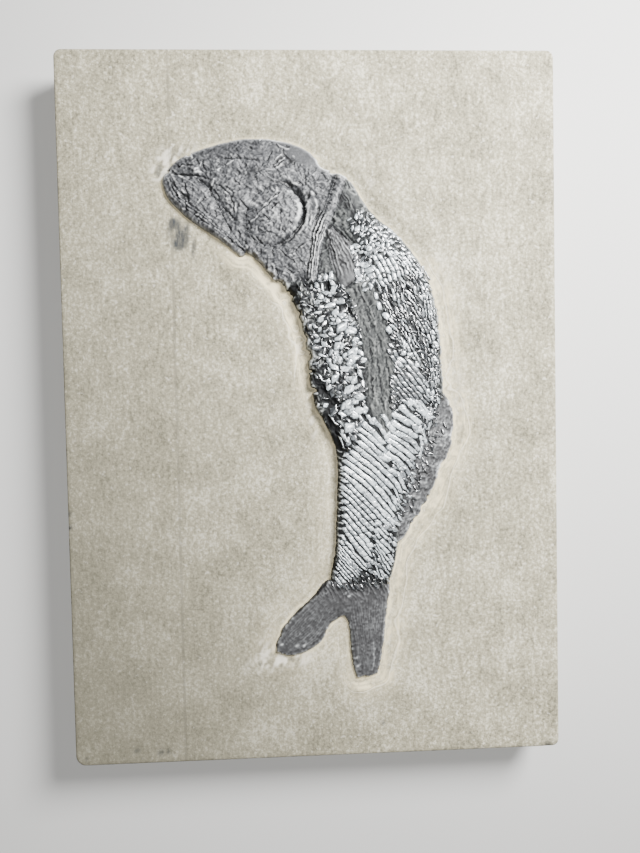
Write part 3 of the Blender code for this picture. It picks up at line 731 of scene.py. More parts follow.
# %% Black hollows along the belly
# Each is (x, y, size along, size across, direction).
hollows = [(-8, 48, 4.6, 3.6, 80), (-6.5, 43.5, 3, 2.4, 60), (-5.3, 38.5, 2.6, 2.2, 0), (-2.8, 32, 3, 1.8, 90),
           (2.5, 9, 8, 2.6, -52), (7.2, 2, 6, 4.2, -60), (6.6, -6, 7, 4, -60), (8, -11.5, 3.6, 3, -60),
           (9.4, -15.2, 4, 2.6, -60), (6.3, 50, 8, 1.1, 88), (17, -14, 2.4, 1, 90), (43, 31, 3, 1.6, 90),
           (46, 28, 3.4, 1.4, 100), (47.5, 24, 3, 1.5, 80), (46.5, 19, 3, 1.3, 110), (47.8, 16, 3, 1.4, 80),
           (48.5, 6.5, 2.6, 2, 0), (48, 1, 5, 1.3, 80), (23, -64.8, 2, 2.2, 0), (39, 48, 5, 1.0, 105),
           (37, 51, 5, 1.1, 120), (41.5, 46, 6, 1.2, 100), (15, 39, 3.6, 0.8, 120), (19.4, -67.2, 4, 1.6, -20)]
# Along the belly's left edge their black is painted shade, as that side of the fish is turned from the light.
for x, y, along_size, across_size, turn in hollows:
    blob(dark, x, y, 1.25 * along_size, 1.25 * across_size, 0.8, turn, 3)
    blob(relief, x, y, 1.2 * along_size, 1.2 * across_size, -0.8, turn, 3)
# The first line is the black furrow beside the belly: painted shade, where the fish's left side is turned from the
# light.
for points, width in (([(9.4, -15), (9.6, -24), (9.7, -32), (9.3, -42), (8.6, -50)], 2.0),
                      ([(8.6, -50), (7.8, -57), (7.2, -64), (6, -70)], 1.2),
                      ([(23.7, -49.4), (23, -55), (22.6, -61.4)], 0.9),
                      ([(33.5, -42.7), (33.3, -46.6), (32, -50), (31, -55), (31.9, -60.9)], 1.0),
                      ([(5, -70), (0, -75.6), (-4, -79.4), (-10, -85)], 1.0)):
    carve(points, width, 0.5, 0.6)
for y in np.arange(-60, -15, 2.7):      # broken ribs of scale that bridge the black furrow
    slant = 1.2 * math.sin(2.3 * y)
    for layer, amount in ((relief, 0.4), (pale, 1.6)):
        stroke(layer, [(8.6, y), (10.6, y + slant)], 0.6, amount, taper=False)
print(len(hollows), "hollows")

# %% [markdown]
# The tail and the back fin are films of dark matter with fine rays under them, nearly level with the stone.

# %% Rays of the tail and the back fin
lower_lobe = ([(6, -72.6), (-1, -79), (-8, -85.4), (-14, -92), (-17, -99)],
              [(9.4, -85), (4.4, -88), (2, -92.4), (-3, -97.6), (-12, -100.6)])
upper_lobe = ([(28.4, -75), (27.2, -84), (26, -94), (24.8, -104), (23, -109.6)],
              [(11.4, -80), (13, -88), (14.4, -96), (15, -104), (16.6, -110.6)])
for first, last in (lower_lobe, upper_lobe):
    for k in range(1, 14):
        raise_edge(between(first, last, k / 14), 0.7, 0.10, 0.05 + 0.05 * (k % 3 == 0), 0.5)
back_rays = ([(50, -3), (46, -12), (42.4, -21), (39, -30), (36.6, -40), (34.6, -50)],
             [(56, -3), (56.6, -10), (53, -21), (48.4, -30), (43.6, -40), (37.6, -50)])
for k in range(10):
    start, end = (between(back_rays[0], back_rays[1], share)[k + 1] for share in (0, 1))
    stroke(relief, [start, end], 1.0, 0.14)
film = belongs("tail_fin", "back_fin")
film_lumps = 0.7 * lumps(X, Y, 0.8, 21) + 0.5 * lumps(X, Y, 2.2, 22)
relief += blurred(film, 0.4) * 0.10 * film_lumps
pale += film * 0.10 * film_lumps
back_film = blurred(belongs("back_fin"), 0.4)
fin_folds = (0.5 * wrinkled(58, 2.2, 1.1, 73) - 0.4 * wrinkled(100, 1.8, 1.7, 83)
             + 0.4 * wrinkled(75, 2.0, 0.8, 93) + 0.5 * lumps(X, Y, 1.3, 94))
relief += back_film * 0.19 * fin_folds
pale += back_film * (0.16 * lumps(X, 0.7 * Y, 2.8, 25) + 0.07 * fin_folds - 0.05)
tail = blurred(belongs("tail_fin"), 0.4)
dark += tail * (0.15 + 0.05 * eased(Y, -84, -74) + 0.05 * lumps(X, Y, 6, 26))
# Small scales run out over the root of the tail as steep fine streaks.
tail_root = (coat + tail) * eased(Y, -83, -74) * eased(-Y, 62, 69)
root_streaks = wrinkled(-62, 3.5, 1.2, 103, 0.6)
relief += tail_root * 0.16 * root_streaks
pale += tail_root * 0.16 * np.maximum(0, root_streaks)
lobe_scales = tail * eased(X, 17, 20) * eased(-X, -28, -26.5) * eased(Y, -97, -88)
lobe_ridges = np.maximum(0, wrinkled(-58, 1.6, 0.9, 133, 0.5))
pale += lobe_scales * 0.22 * lobe_ridges * eased(lumps(X, Y, 4, 134), -0.4, 0.4)
stroke(pale, [(22.4, -96), (22.8, -103), (21.8, -109.6)], 0.8, 0.3)
for x, y, size in ((-15.5, -97, 1.0), (-9, -97.5, 1.2), (-6, -97.5, 1.0), (15.5, -103.5, 1.0), (16, -107, 1.1),
                   (11.6, -76, 0.9), (12.8, -77.4, 0.9)):
    blob(pale, x, y, 1.6 * size, size, 0.5, 30)
blob(pale, 53, -9, 9, 13, 0.14)
print("fin rays drawn")

# %% [markdown]
# ## Sheets raised to the map
# Each bone or fin is one sheet, cut from the map's own grid, so neighbours meet without a step. Towards the
# stone a sheet rolls down below the stone's face. Its rim then drops to the floor of its bed and is closed.

# %% Roll the outline down into the stone
# ROLL is how many millimetres the edge takes to roll down.
ROLL = 0.9 + 0.4 * eased(-X + 0.45 * (Y - 40), -16, 0) * eased(-Y, -95, -88)
BED_FLOOR = -1.7       # the fish's bed in the stone, in millimetres under the face
SKIRT = -1.4           # where a sheet's edge has rolled down to
roll = np.sqrt(np.clip(1 - (1 - np.clip((depth + 0.45) / (ROLL + 0.45), 0, 1)) ** 2, 0, 1))
relief = SKIRT + (np.maximum(relief, -0.7) - SKIRT) * roll
# crest is the relief above its own blur. In the tone it paints shade into the hollows and a highlight onto the
# crests.
crest = relief - blurred(relief, 0.6)
edge_shadow = 0.10 * np.exp(-((depth - 0.5) / 0.9) ** 2)      # painted shade in the corner under the rim
shade = np.clip(0.50 + 1.25 * crest * roll + pale - dark - edge_shadow, 0, 1)
print("relief from", round(float(relief[inside].min()), 1), "to", round(float(relief[inside].max()), 1), "mm")

# %% One sheet for one solid


def clean(mask):
    """Takes away cells that touch the rest of their part by a corner alone, where a wall would pinch."""
    while True:
        right, up = np.roll(mask, -1, 0), np.roll(mask, -1, 1)
        corner = np.roll(up, -1, 0)
        pinched = (mask & corner & ~right & ~up) | (~mask & ~corner & right & up)
        if not pinched.any():
            return mask
        mask = mask & ~pinched & ~(np.roll(pinched, 1, 0) & ~corner)


def finish_piece(name, bm, material, node):
    """Turns a bmesh into a finished object that rides with the slab and stands for a CAD node."""
    mesh = bpy.data.meshes.new(name)
    bm.to_mesh(mesh)
    bm.free()
    mesh.materials.append(material)
    mesh.polygons.foreach_set("use_smooth", [True] * len(mesh.polygons))
    piece = bpy.data.objects.new(name, mesh)
    bpy.context.scene.collection.objects.link(piece)
    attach(piece, "root")
    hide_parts(node)
    mesh.calc_loop_triangles()
    print(f"{name}: {len(mesh.loop_triangles)} triangles")


def raised_sheet(name, node, material):
    """Cuts a solid's sheet from the map's grid, raises it, and draws a wall down from its rim."""
    part = clean(belongs(node))
    cells = np.argwhere(part)
    (i0, j0), (i1, j1) = cells.min(0), cells.max(0) + 1
    size_i, size_j = int(i1 - i0), int(j1 - j0)
    bm = bmesh.new()
    wear_and_shade = bm.verts.layers.float.new("wear_and_shade")
    bmesh.ops.create_grid(bm, x_segments=size_i, y_segments=size_j, size=0.5)
    for vert in bm.verts:
        i, j = i0 + round((vert.co.x + 0.5) * size_i), j0 + round((vert.co.y + 0.5) * size_j)
        # Each point's tone: rubbed and muddy bone, with the painted shade and highlight of the relief.
        vert[wear_and_shade] = shade[i, j]
        vert.co = (X[i, j] * MM, Y[i, j] * MM, TOP + relief[i, j] * MM)
    outside = []
    for face in bm.faces:
        middle = face.calc_center_median() / MM
        if not part[int((middle.x - west) / CELL), int((middle.y - south) / CELL)]:
            outside.append(face)
    bmesh.ops.delete(bm, geom=outside, context="FACES")
    rim = [edge for edge in bm.edges if edge.is_boundary]
    wall = bmesh.ops.extrude_edge_only(bm, edges=rim)["geom"]
    for item in wall:
        if isinstance(item, bmesh.types.BMVert):
            item.co.z = TOP + BED_FLOOR * MM
            item[wear_and_shade] = 0.1
    foot = [item for item in wall if isinstance(item, bmesh.types.BMEdge) and item.is_boundary]
    bmesh.ops.triangle_fill(bm, edges=foot, use_beauty=False, use_dissolve=False, normal=(0, 0, -1))
    bmesh.ops.recalc_face_normals(bm, faces=bm.faces)
    finish_piece(name, bm, material, node)


print("ready to raise sheets")

# %% [markdown]
# Petrified bone is dense, dark and a little waxy. Where the preparator's tools and hands rubbed it, the crests
# are grey. Shale mud stays black in the hollows. On top of that the hollows get painted shade and the crests a
# painted highlight. The sheets carry all of it as one attribute, from 0 to 1.

# %% Petrified bone


def shaded_wear_tone(material, grain, amount, stops):
    """A colour ramp that is read at a sheet's wear and painted shade, moved up and down by the grain."""
    wear_and_shade = add(material, "Attribute", {}, attribute_name="wear_and_shade").outputs["Fac"]
    centred = add(material, "Math", {0: grain, 1: 0.5}, operation="SUBTRACT")
    spread = add(material, "Math", {0: centred, 1: amount, 2: wear_and_shade}, operation="MULTIPLY_ADD")
    return add(material, "ValToRGB", {"Fac": spread}, stops=stops)


bone, shader = new_material("petrified_bone_rubbed")
place = add(bone, "TexCoord", {}).outputs["Object"]
speckle = add(bone, "TexNoise", {"Vector": place, "Scale": 1 / (0.9 * MM), "Detail": 3.0, "Roughness": 0.6})
tone = shaded_wear_tone(bone, speckle, 0.25, [(0.0, "#0b0c0d"), (0.30, "#2c2d2f"), (0.50, "#535456"), (0.72, "#8a8b8b"),
                                       (1.0, "#dcdddb")])
askew = add(bone, "Mapping", {"Vector": place, "Rotation": (0.0, 0.0, 0.7), "Scale": (0.4, 1.0, 1.0)})
pores = add(bone, "TexNoise", {"Vector": askew, "Scale": 1 / (0.6 * MM), "Detail": 3.0, "Distortion": 0.6})
bump = add(bone, "Bump", {"Height": pores, "Strength": 0.6, "Distance": 0.2 * MM})
connect(shader, {"Base Color": tone, "Normal": bump, "Roughness": 0.48, "IOR": 1.55})
print(bone.name, len(bone.node_tree.nodes), "nodes")

# %% Raise the bones
for name, node in (("skull_bones", "skull"), ("jaw_bone", "lower_jaw"), ("gill_cover_bone", "gill_cover"),
                   ("shoulder_strut", "shoulder_bone")):
    raised_sheet(name, node, bone)

# %% [markdown]
# A fin is skin and rays that turned to a carbon film: matt, slate grey, and speckled with paler stone dust.

# %% Carbon film
film_matter, shader = new_material("carbon_film_dusty")
place = add(film_matter, "TexCoord", {}).outputs["Object"]
dust = add(film_matter, "TexNoise", {"Vector": place, "Scale": 1 / (1.3 * MM), "Detail": 4.0, "Roughness": 0.65})
tone = shaded_wear_tone(film_matter, dust, 0.45, [(0.0, "#0d0d0e"), (0.35, "#3b3b3c"), (0.55, "#5c5d5e"),
                                           (0.8, "#8e9090"), (1.0, "#d2d3d1")])
bump = add(film_matter, "Bump", {"Height": dust, "Strength": 0.4, "Distance": 0.15 * MM})
connect(shader, {"Base Color": tone, "Normal": bump, "Roughness": 0.62})
for name, node in (("breast_fin_rays", "breast_fin"), ("back_fin_film", "back_fin"), ("tail_film", "tail_fin")):
    raised_sheet(name, node, film_matter)

# %% [markdown]
# ## Scales
# A scale of this fish is a thick rhomb of bone under clear hard enamel. Each is one small plate: a grid whose
# corners are rounded and whose middle is raised, with a wall drawn down from its rim. A few plates are made
# once and repeated hundreds of times, so each has only a few dozen faces.

# %% Plates to repeat


def scale_plate(name, squareness, lean=0.0, dome=0.35, rim_tone=0.6, joined=0.0):
    """A plate one unit long and wide. A high squareness keeps its corners, lean slants its ends, rim_tone paints
    its rim darker as shade, and joined keeps the ends flat and light, so that plates in a row run on from one to
    the next."""
    bm = bmesh.new()
    bmesh.ops.create_grid(bm, x_segments=4, y_segments=4, size=0.5)
    crown = bm.verts.layers.float.new("crown")
    bm.verts.layers.float.new("tone")
    for vert in bm.verts:
        u, v = (math.copysign(abs(2 * c) ** 0.55, c) for c in vert.co.xy)
        edge = max(abs(u), abs(v))
        rim_share = 1.0 if abs(v) > 0.99 else (1 - joined) if edge > 0.99 else 0.0
        corner = (abs(u) ** squareness + abs(v) ** squareness) ** (1 / squareness)
        inward = edge / corner if corner else 1
        u, v = u * inward, v * inward
        # crown drops to rim_tone at the rim: painted shade round the plate's edge.
        vert[crown] = 1 - (1 - rim_tone) * rim_share
        vert.co = (0.5 * (u + lean * v), 0.5 * v,
                   1 - dome * (0.35 * (1 - joined) * u * u + v * v) - 0.28 * rim_share)
    rim = [edge for edge in bm.edges if edge.is_boundary]
    wall = bmesh.ops.extrude_edge_only(bm, edges=rim)["geom"]
    for item in wall:
        if isinstance(item, bmesh.types.BMVert):
            item.co.z = -1.6
            # The wall is painted black, as the shade in the gap between plates.
            item[crown] = 0.0
    foot = [item for item in wall if isinstance(item, bmesh.types.BMEdge) and item.is_boundary]
    bmesh.ops.contextual_create(bm, geom=foot)
    bmesh.ops.recalc_face_normals(bm, faces=bm.faces)
    mesh = bpy.data.meshes.new(name)
    bm.to_mesh(mesh)
    bm.free()
    print(f"{name}: {len(mesh.polygons)} faces")
    return mesh


bar = scale_plate("bar", 12, lean=0.3, joined=0.8)
tile = scale_plate("tile", 11, lean=0.35, joined=0.3)
lobe = scale_plate("lobe", 3.2, dome=0.45, rim_tone=0.5)
chip = scale_plate("chip", 7, lean=0.4, dome=0.3, rim_tone=0.4)
chunk = scale_plate("chunk", 5, lean=0.25, dome=0.3, rim_tone=0.42)
shard = scale_plate("shard", 14, lean=0.5, dome=0.12, rim_tone=0.34)

# %% Lay one plate on the bed
bed = blurred(relief, 0.9)
slope_x, slope_y = np.gradient(bed, CELL)
dice = random.Random(7)


def at(layer, x, y):
    """A layer's value at a place in millimetres."""
    i = min(max(int(round((x - west) / CELL)), 0), across - 1)
    j = min(max(int(round((y - south) / CELL)), 0), upward - 1)
    return float(layer[i, j])


covered = np.zeros(X.shape, bool)      # where a plate already lies


def lay(bm, plate, x, y, long, wide, angle, tone, lift=0.0, tip=0.0, list_to=0.0, thick=0.42):
    """Adds a plate at x, y. angle is its long side's direction, and tip and list_to tilt it, all in degrees."""
    area = window(x - long, y - long, x + long, y + long)
    c, s = math.cos(math.radians(angle)), math.sin(math.radians(angle))
    u, v = (X[area] - x) * c + (Y[area] - y) * s, (Y[area] - y) * c - (X[area] - x) * s
    covered[area] |= (np.abs(u) < 0.45 * long) & (np.abs(v) < 0.45 * wide)
    upright = Vector((-at(slope_x, x, y), -at(slope_y, x, y), 1)).to_track_quat("Z", "Y").to_matrix().to_4x4()
    heading = Matrix.Rotation(math.radians(angle) - upright.to_euler().z, 4, "Z")
    tilt = Matrix.Rotation(math.radians(list_to), 4, "X") @ Matrix.Rotation(math.radians(tip), 4, "Y")
    spot = Matrix.Translation((x * MM, y * MM, TOP + (at(bed, x, y) + lift) * MM))
    copy = plate.copy()
    copy.transform(spot @ upright @ heading @ tilt @ Matrix.Diagonal((long * MM, wide * MM, thick * MM, 1)))
    copy.attributes["tone"].data.foreach_set("value", [tone] * len(copy.vertices))
    bm.from_mesh(copy)
    bpy.data.meshes.remove(copy)


def roughen(bm, amount):
    """Moves the plates' corners a little, by one smooth field, so neighbours still fit and no two are alike."""
    for vert in bm.verts:
        x, y = vert.co.x / MM, vert.co.y / MM
        vert.co.x += amount * at(wander_x, x, y) * MM
        vert.co.y += amount * at(wander_y, x, y) * MM


def new_plates():
    """An empty mesh that plates are added to, with their two attributes."""
    bm = bmesh.new()
    bm.verts.layers.float.new("crown")
    bm.verts.layers.float.new("tone")
    return bm


print("bed height at the widest part:", round(at(bed, 30, 10), 2), "mm")

# %% [markdown]
# Rows of scales lie between furrows. A furrow is a dark line, and only some are given. Where two given furrows
# hold several rows, the ones between are blends. In a row the plates overlap a little, end to end.

# %% Lay rows between furrows


ROW_POINTS = 24                    # points along each side of a row
ROW_START, ROW_RUN = 0.7, 22.3     # where the plates of a row begin, and how far they go, counted in those points


def lay_rows(bm, first, last, rows, length, gap=0.5, plate=None, tone=0.75, spread=0.12, missing=0.0):
    """Fills the strip between two furrows with rows of plates of about the given length."""
    for row in range(rows):
        upper = between(first, last, row / rows, ROW_POINTS)
        lower = between(first, last, (row + 1) / rows, ROW_POINTS)
        middle = [((a[0] + b[0]) / 2, (a[1] + b[1]) / 2) for a, b in zip(upper, lower)]
        steps = [math.dist(p, q) for p, q in zip(middle, middle[1:])]
        total = sum(steps)
        count = max(1, round(total / length))
        shift = dice.uniform(-0.2, 0.2)
        for k in range(count):
            place = ROW_START + (k + 0.5 + (shift if 0 < k < count - 1 else 0)) / count * ROW_RUN
            i = min(int(place), ROW_POINTS - 2)
            f = place - i
            x, y = (middle[i][c] * (1 - f) + middle[i + 1][c] * f for c in (0, 1))
            run = Vector(middle[i + 1]) - Vector(middle[i])
            side = Vector(upper[i]) - Vector(lower[i])
            wide = abs(side.cross(run.normalized()))
            if wide < 0.5 or dice.random() < missing:
                continue
            lay(bm, plate or tile, x, y, total / count * (1.2 if plate is bar else 1.04), max(0.5, wide - gap),
                math.degrees(math.atan2(run.y, run.x)),
                tone + dice.uniform(-spread, spread), tip=dice.uniform(1, 5), list_to=dice.uniform(-4, 4),
                lift=dice.uniform(-0.03, 0.05))


print("rows can be laid")

# %% Furrows of the rear flank
furrows = [
    [(17.8, -7.3), (21.5, -9.6), (24.5, -12.2), (28.8, -16.6)],
    [(17.2, -9), (20.5, -11.6), (23.6, -14.7), (26.7, -17.7), (29, -20)],
    [(17.2, -11.6), (21.2, -15.6), (25.4, -19.6), (29.4, -23.3), (33.4, -25.7), (36.2, -29.4)],
    [(17.2, -15), (21.8, -18.8), (26.7, -23), (30.6, -26.9), (34, -30.6), (35.2, -34.3)],
    [(14.6, -15.7), (18.4, -19.3), (23, -23), (27.6, -27.2), (31.6, -31.5), (33.6, -35)],
    [(13.6, -18.2), (17.8, -22), (21.8, -24.9), (25.7, -28.8), (29.1, -32.8), (32.2, -36.1), (33.1, -38.9)],
    [(11.8, -19.8), (16.9, -23.9), (20.8, -26.9), (24.8, -30.6), (29.4, -36.1), (32, -40.4)],
    [(11, -22.3), (15.3, -25.6), (19.9, -29.5), (24.2, -34), (28.2, -38.9), (31.6, -43.4)],
    [(10.9, -25.3), (15.9, -29.1), (21.2, -33.7), (25.7, -39.2), (28.5, -42.2), (32, -46.4)],
    [(10.4, -27.3), (14.4, -30.9), (18.7, -35.5), (24.2, -41.3), (28.4, -45.6), (31.6, -49)],
    [(10.3, -30), (15, -34.3), (20.5, -40.1), (25, -45), (28, -48.4)],
    [(10.1, -33.1), (13.2, -35.5), (18.7, -41.3), (23.2, -46.2)],
    [(10.3, -35.6), (12.4, -37.2), (16.3, -41.3), (20.6, -46), (23.4, -49)],
    [(10.4, -38.6), (13.4, -41.4), (17.6, -46.2), (21.8, -50.7)],
    [(10.6, -41.7), (12.5, -43.2), (14.5, -45.7), (18.3, -49.9), (21.8, -54)],
    [(10.7, -44.6), (12.6, -46.6), (14.8, -49.2), (18, -53.2), (20.6, -57), (22, -59.6)],
    [(10.7, -46.8), (13.2, -50.3), (16.6, -54.8), (19.3, -58.2), (21.2, -61)],
    [(10.1, -49.9), (12.4, -52.8), (14.2, -55.6), (16.3, -58.8), (18.6, -61.6), (20.6, -63.8)],
]
rear = new_plates()
for k, (first, last) in enumerate(zip(furrows, furrows[1:])):
    lay_rows(rear, first, last, 1, 4.4 if k < 9 else 2.6, gap=0.45, plate=bar if k < 9 else tile, tone=0.90,
             spread=0.13)
tail_stem = [
    ([(10, -50.6), (12.4, -54), (15.6, -58.6), (18.6, -62.4), (20.2, -64.6)],
     [(9, -54.8), (11.6, -58.4), (14.6, -61.8), (17.8, -65.4), (19.4, -67)], 2, 2.6, 0.8),
    ([(9, -55), (11.6, -58.6), (14.8, -62.4), (17.8, -66)],
     [(8.2, -60.6), (10.6, -63.6), (13.8, -67.2), (15.6, -69.4)], 4, 2.4, 0.78),
    ([(8.2, -60.8), (10.6, -63.8), (13.6, -67.4), (15, -69.4)], [(7.4, -65.6), (9.2, -67.8), (11.6, -70.6)], 3,
     2.1, 0.72),
    ([(7.2, -65.8), (9.2, -68.2), (11.4, -71)], [(6, -69.4), (7.8, -71.4), (9, -73.6)], 2, 1.8, 0.62),
    ([(23.9, -45.2), (26.4, -47.8), (28.6, -50.4), (29.8, -53.6)],
     [(24.2, -50.4), (26.6, -52.8), (28.6, -54.8), (30, -56.6)], 2, 2.6, 0.8),
    ([(24.2, -50.4), (26.6, -52.8), (28.6, -54.8), (30, -56.6)],
     [(24, -55), (26, -57.8), (28.6, -61), (30.4, -64)], 2, 2.6, 0.7),
    ([(24, -55), (26, -57.8), (28.6, -61), (30.4, -64)], [(23.6, -58.8), (25, -62), (27, -66), (28.8, -69.4)], 3,
     2.3, 0.7),
    ([(23.4, -60), (24.6, -63.4), (26, -67), (27.4, -70)], [(22.8, -63), (23.6, -66), (24.8, -69), (25.6, -71)], 2,
     2.2, 0.6),
    ([(20.8, -65), (22.6, -67), (24.6, -69.6)], [(20.2, -66), (22, -68.2), (23.8, -70.6)], 1, 5.4, 0.95),
    ([(28.9, -44.6), (30.6, -46.4), (32.4, -48.6)], [(24.6, -41.8), (28, -45.4), (31.6, -49.6)], 1, 3.0, 0.8),
]
for first, last, rows, length, tone in tail_stem:
    lay_rows(rear, first, last, rows, 0.95 * length, gap=0.38, tone=tone + 0.20, spread=0.16)
print(f"rear flank: {len(furrows) - 1} rows and {sum(strip[2] for strip in tail_stem)} smaller ones")

# %% [markdown]
# Above the rear flank the coat was torn, and its rows end in rounded lobes that stand like steps round the end of
# the bare strip. Behind the shoulder the rows run more steeply, and along the back they are small and broken.

# %% Bars with rounded ends
# Each is (width, points) along a bar's middle.
bars = [
    (3.0, [(38.9, 1.9), (41.5, 0.8), (44, -2), (47, -5)]),
    (2.8, [(35.6, -0.4), (37.6, -2.4), (40.4, -4.6), (43.8, -7.4)]),
    (2.9, [(32.4, -3.2), (34.6, -4.2), (37.6, -6), (40.6, -7.8), (42.6, -10.6)]),
    (2.7, [(31.9, -6.6), (34.6, -8.2), (38, -10), (41.4, -12.4)]),
    (2.5, [(30, -7.2), (32.2, -9.6), (36, -11.8), (39.8, -14.2), (42.6, -17.6)]),
    (2.2, [(30, -10.9), (33, -12.8), (37, -15.2), (40.6, -18.6)]),
    (2.3, [(30, -13.4), (34, -16), (37.4, -18.6), (40.2, -21.4)]),
    (2.2, [(30, -16.2), (34, -19), (37.6, -22.2), (40, -25)]),
    (2.2, [(29.4, -18.8), (33, -21.6), (36.6, -25), (38.8, -28.6)]),
    (2.4, [(23.6, -4.8), (26.4, -8), (29.2, -12.6)]),
    (2.4, [(20, -6.6), (24, -10.4), (27.6, -14.6)]),
    (1.7, [(21.5, -3.4), (23.4, -6.6)]),
    (1.6, [(41.4, 2.4), (44.4, 0.2), (46.6, -2.6)]),
    (1.7, [(43, -8.6), (44.6, -11.6), (45.4, -15)]),
    (1.7, [(43.4, -12.6), (44, -16.6), (42.6, -20.4)]),
    (2.0, [(27.6, -3.4), (29.4, -6.4), (30.2, -9)]),
]
torn = new_plates()
for wide, points in bars:
    line = smooth_line(points, 0.2)
    total = 0.2 * (len(line) - 1)
    count = max(1, round(total / 4.4))
    for k in range(count):
        i = int((k + 0.5) / count * (len(line) - 1))
        run = line[min(i + 3, len(line) - 1)] - line[max(i - 3, 0)]
        lay(torn, bar, line[i].x, line[i].y, total / count * 1.15, wide * 0.88,
            math.degrees(math.atan2(run.y, run.x)),
            0.92 - 0.07 * k + dice.uniform(-0.1, 0.08), tip=3)
    start = line[min(2, len(line) - 1)]
    lay(torn, lobe, start.x, start.y, 1.15 * wide, 1.05 * wide, math.degrees(math.atan2(run.y, run.x)), 0.95,
        lift=0.10)
print(f"{len(bars)} bars")

# %% Rows between the bare strip and the back
upper_rows = [
    ([(36.4, 23.4), (39.6, 19.2), (42.8, 15), (46.4, 9.6), (48.2, 5)],
     [(33, 18.4), (36, 14.6), (39, 10.8), (43, 6), (46.4, 1.6)], 3, 3.4, 0.60),
    ([(33, 18.4), (36, 14.6), (39, 10.8), (43, 6), (46.4, 1.6)],
     [(30.6, 8.4), (33.4, 4.6), (36, 1.6), (39.4, -1.4)], 5, 3.4, 0.52),
    ([(31, 27), (33.6, 23), (36, 19)], [(29.6, 22.6), (31.4, 19.4), (33.4, 15.6)], 2, 3.0, 0.34),
    ([(31.6, 63.4), (33.4, 60.4), (35, 57), (36, 53)], [(22.2, 60), (25, 55.2), (26.6, 51.6), (27.6, 48.6)], 5,
     2.7, 0.84),
    ([(22.2, 60), (25, 55.2), (26.6, 51.6)], [(19.6, 56.4), (22.6, 52), (24.6, 48.4)], 1, 2.5, 0.7),
    ([(43.4, 61), (46.6, 57), (49.4, 52)], [(32.6, 63.4), (36.4, 58.6), (39.6, 54)], 5, 2.3, 0.8),
    ([(34.4, 52.6), (34.8, 48.4), (35.4, 44.6)], [(27.6, 48.6), (28.6, 44.6), (30, 40.6)], 4, 2.4, 0.66),
    ([(39.6, 54), (36.4, 58.6), (33, 62.6)][::-1], [(36, 53), (35, 57), (33, 61)][::-1], 2, 2.4, 0.7),
    ([(41, 23.4), (43.4, 19.4), (46, 15)], [(36.6, 26.8), (38.2, 22.6), (41, 17.6)], 2, 2.2, 0.7),
    ([(46.6, 34), (49.6, 28), (50.6, 21)], [(41.6, 35), (44.4, 29.6), (46.8, 23)], 3, 2.0, 0.55),
    ([(50.6, 20), (50.8, 12), (49.2, 5), (47.6, -2)], [(46.6, 20), (47.6, 13), (48, 8)], 3, 1.9, 0.6),
    ([(48.8, 50), (50, 43), (50.2, 36)], [(43.6, 50), (45, 43), (45.6, 36)], 4, 1.9, 0.66),
    ([(49.4, -1), (46.6, -7), (44.4, -13)], [(47, -0.6), (44.8, -6.6), (43, -12)], 1, 1.9, 0.6),
]
for first, last, rows, length, tone in upper_rows:
    lay_rows(torn, first, last, rows, length, gap=0.32, plate=tile if length > 2.4 else chip, tone=tone,
             spread=0.16, missing=0.06)
print(f"{sum(strip[2] for strip in upper_rows)} rows towards the back")

# %% [markdown]
# Where the coat was crushed, scales lie scattered. A zone is filled by throwing darts: a dart that lands in the
# zone, and not too near an earlier one, leaves a scale. Big bright scales on the belly are listed and placed first.

# %% Scatter scales in a zone


def in_zone(zone, x, y):
    """True where x, y is inside the closed line of the zone's points."""
    found = False
    for (x1, y1), (x2, y2) in zip(zone, zone[1:] + zone[:1]):
        if (y1 > y) != (y2 > y) and x < (x2 - x1) * (y - y1) / (y2 - y1) + x1:
            found = not found
    return found


def scatter(bm, zone, spacing, size, angle, disorder, tone, spread, taken=(), holes=False, plates=None,
            slim=(0.4, 0.8)):
    """Throws plates into a zone, or only into its holes. size is a plate's mean length, disorder how far it
    turns, and slim the range of its width against its length."""
    places = list(taken)
    xs, ys = [p[0] for p in zone], [p[1] for p in zone]
    thrown = int(14 * (max(xs) - min(xs)) * (max(ys) - min(ys)) / spacing ** 2)
    laid = 0
    for _ in range(thrown):
        x, y = dice.uniform(min(xs), max(xs)), dice.uniform(min(ys), max(ys))
        if not in_zone(zone, x, y) or any(math.hypot(x - p[0], y - p[1]) < max(spacing, p[2]) for p in places):
            continue
        if at(depth, x, y) < 0.5 or at(dark, x, y) > 0.85:
            continue
        if holes and any(at(covered, x + dx, y + dy) for dx,
                         dy in ((0, 0), (0.7, 0), (-0.7, 0), (0, 0.7), (0, -0.7))):
            continue
        places.append((x, y, 0))
        long, most = size * dice.uniform(0.7, 1.35), 17 if plates else 12
        lay(bm, dice.choice(plates or (tile, chip, chip)), x, y, long, long * dice.uniform(*slim),
            angle + dice.gauss(0, disorder), min(1, max(0.05, tone + dice.uniform(-spread, spread))),
            lift=dice.uniform(-0.1, 0.15),
            tip=dice.uniform(-most, most), list_to=dice.uniform(-most, most), thick=dice.uniform(0.3, 0.5))
        laid += 1
    return laid


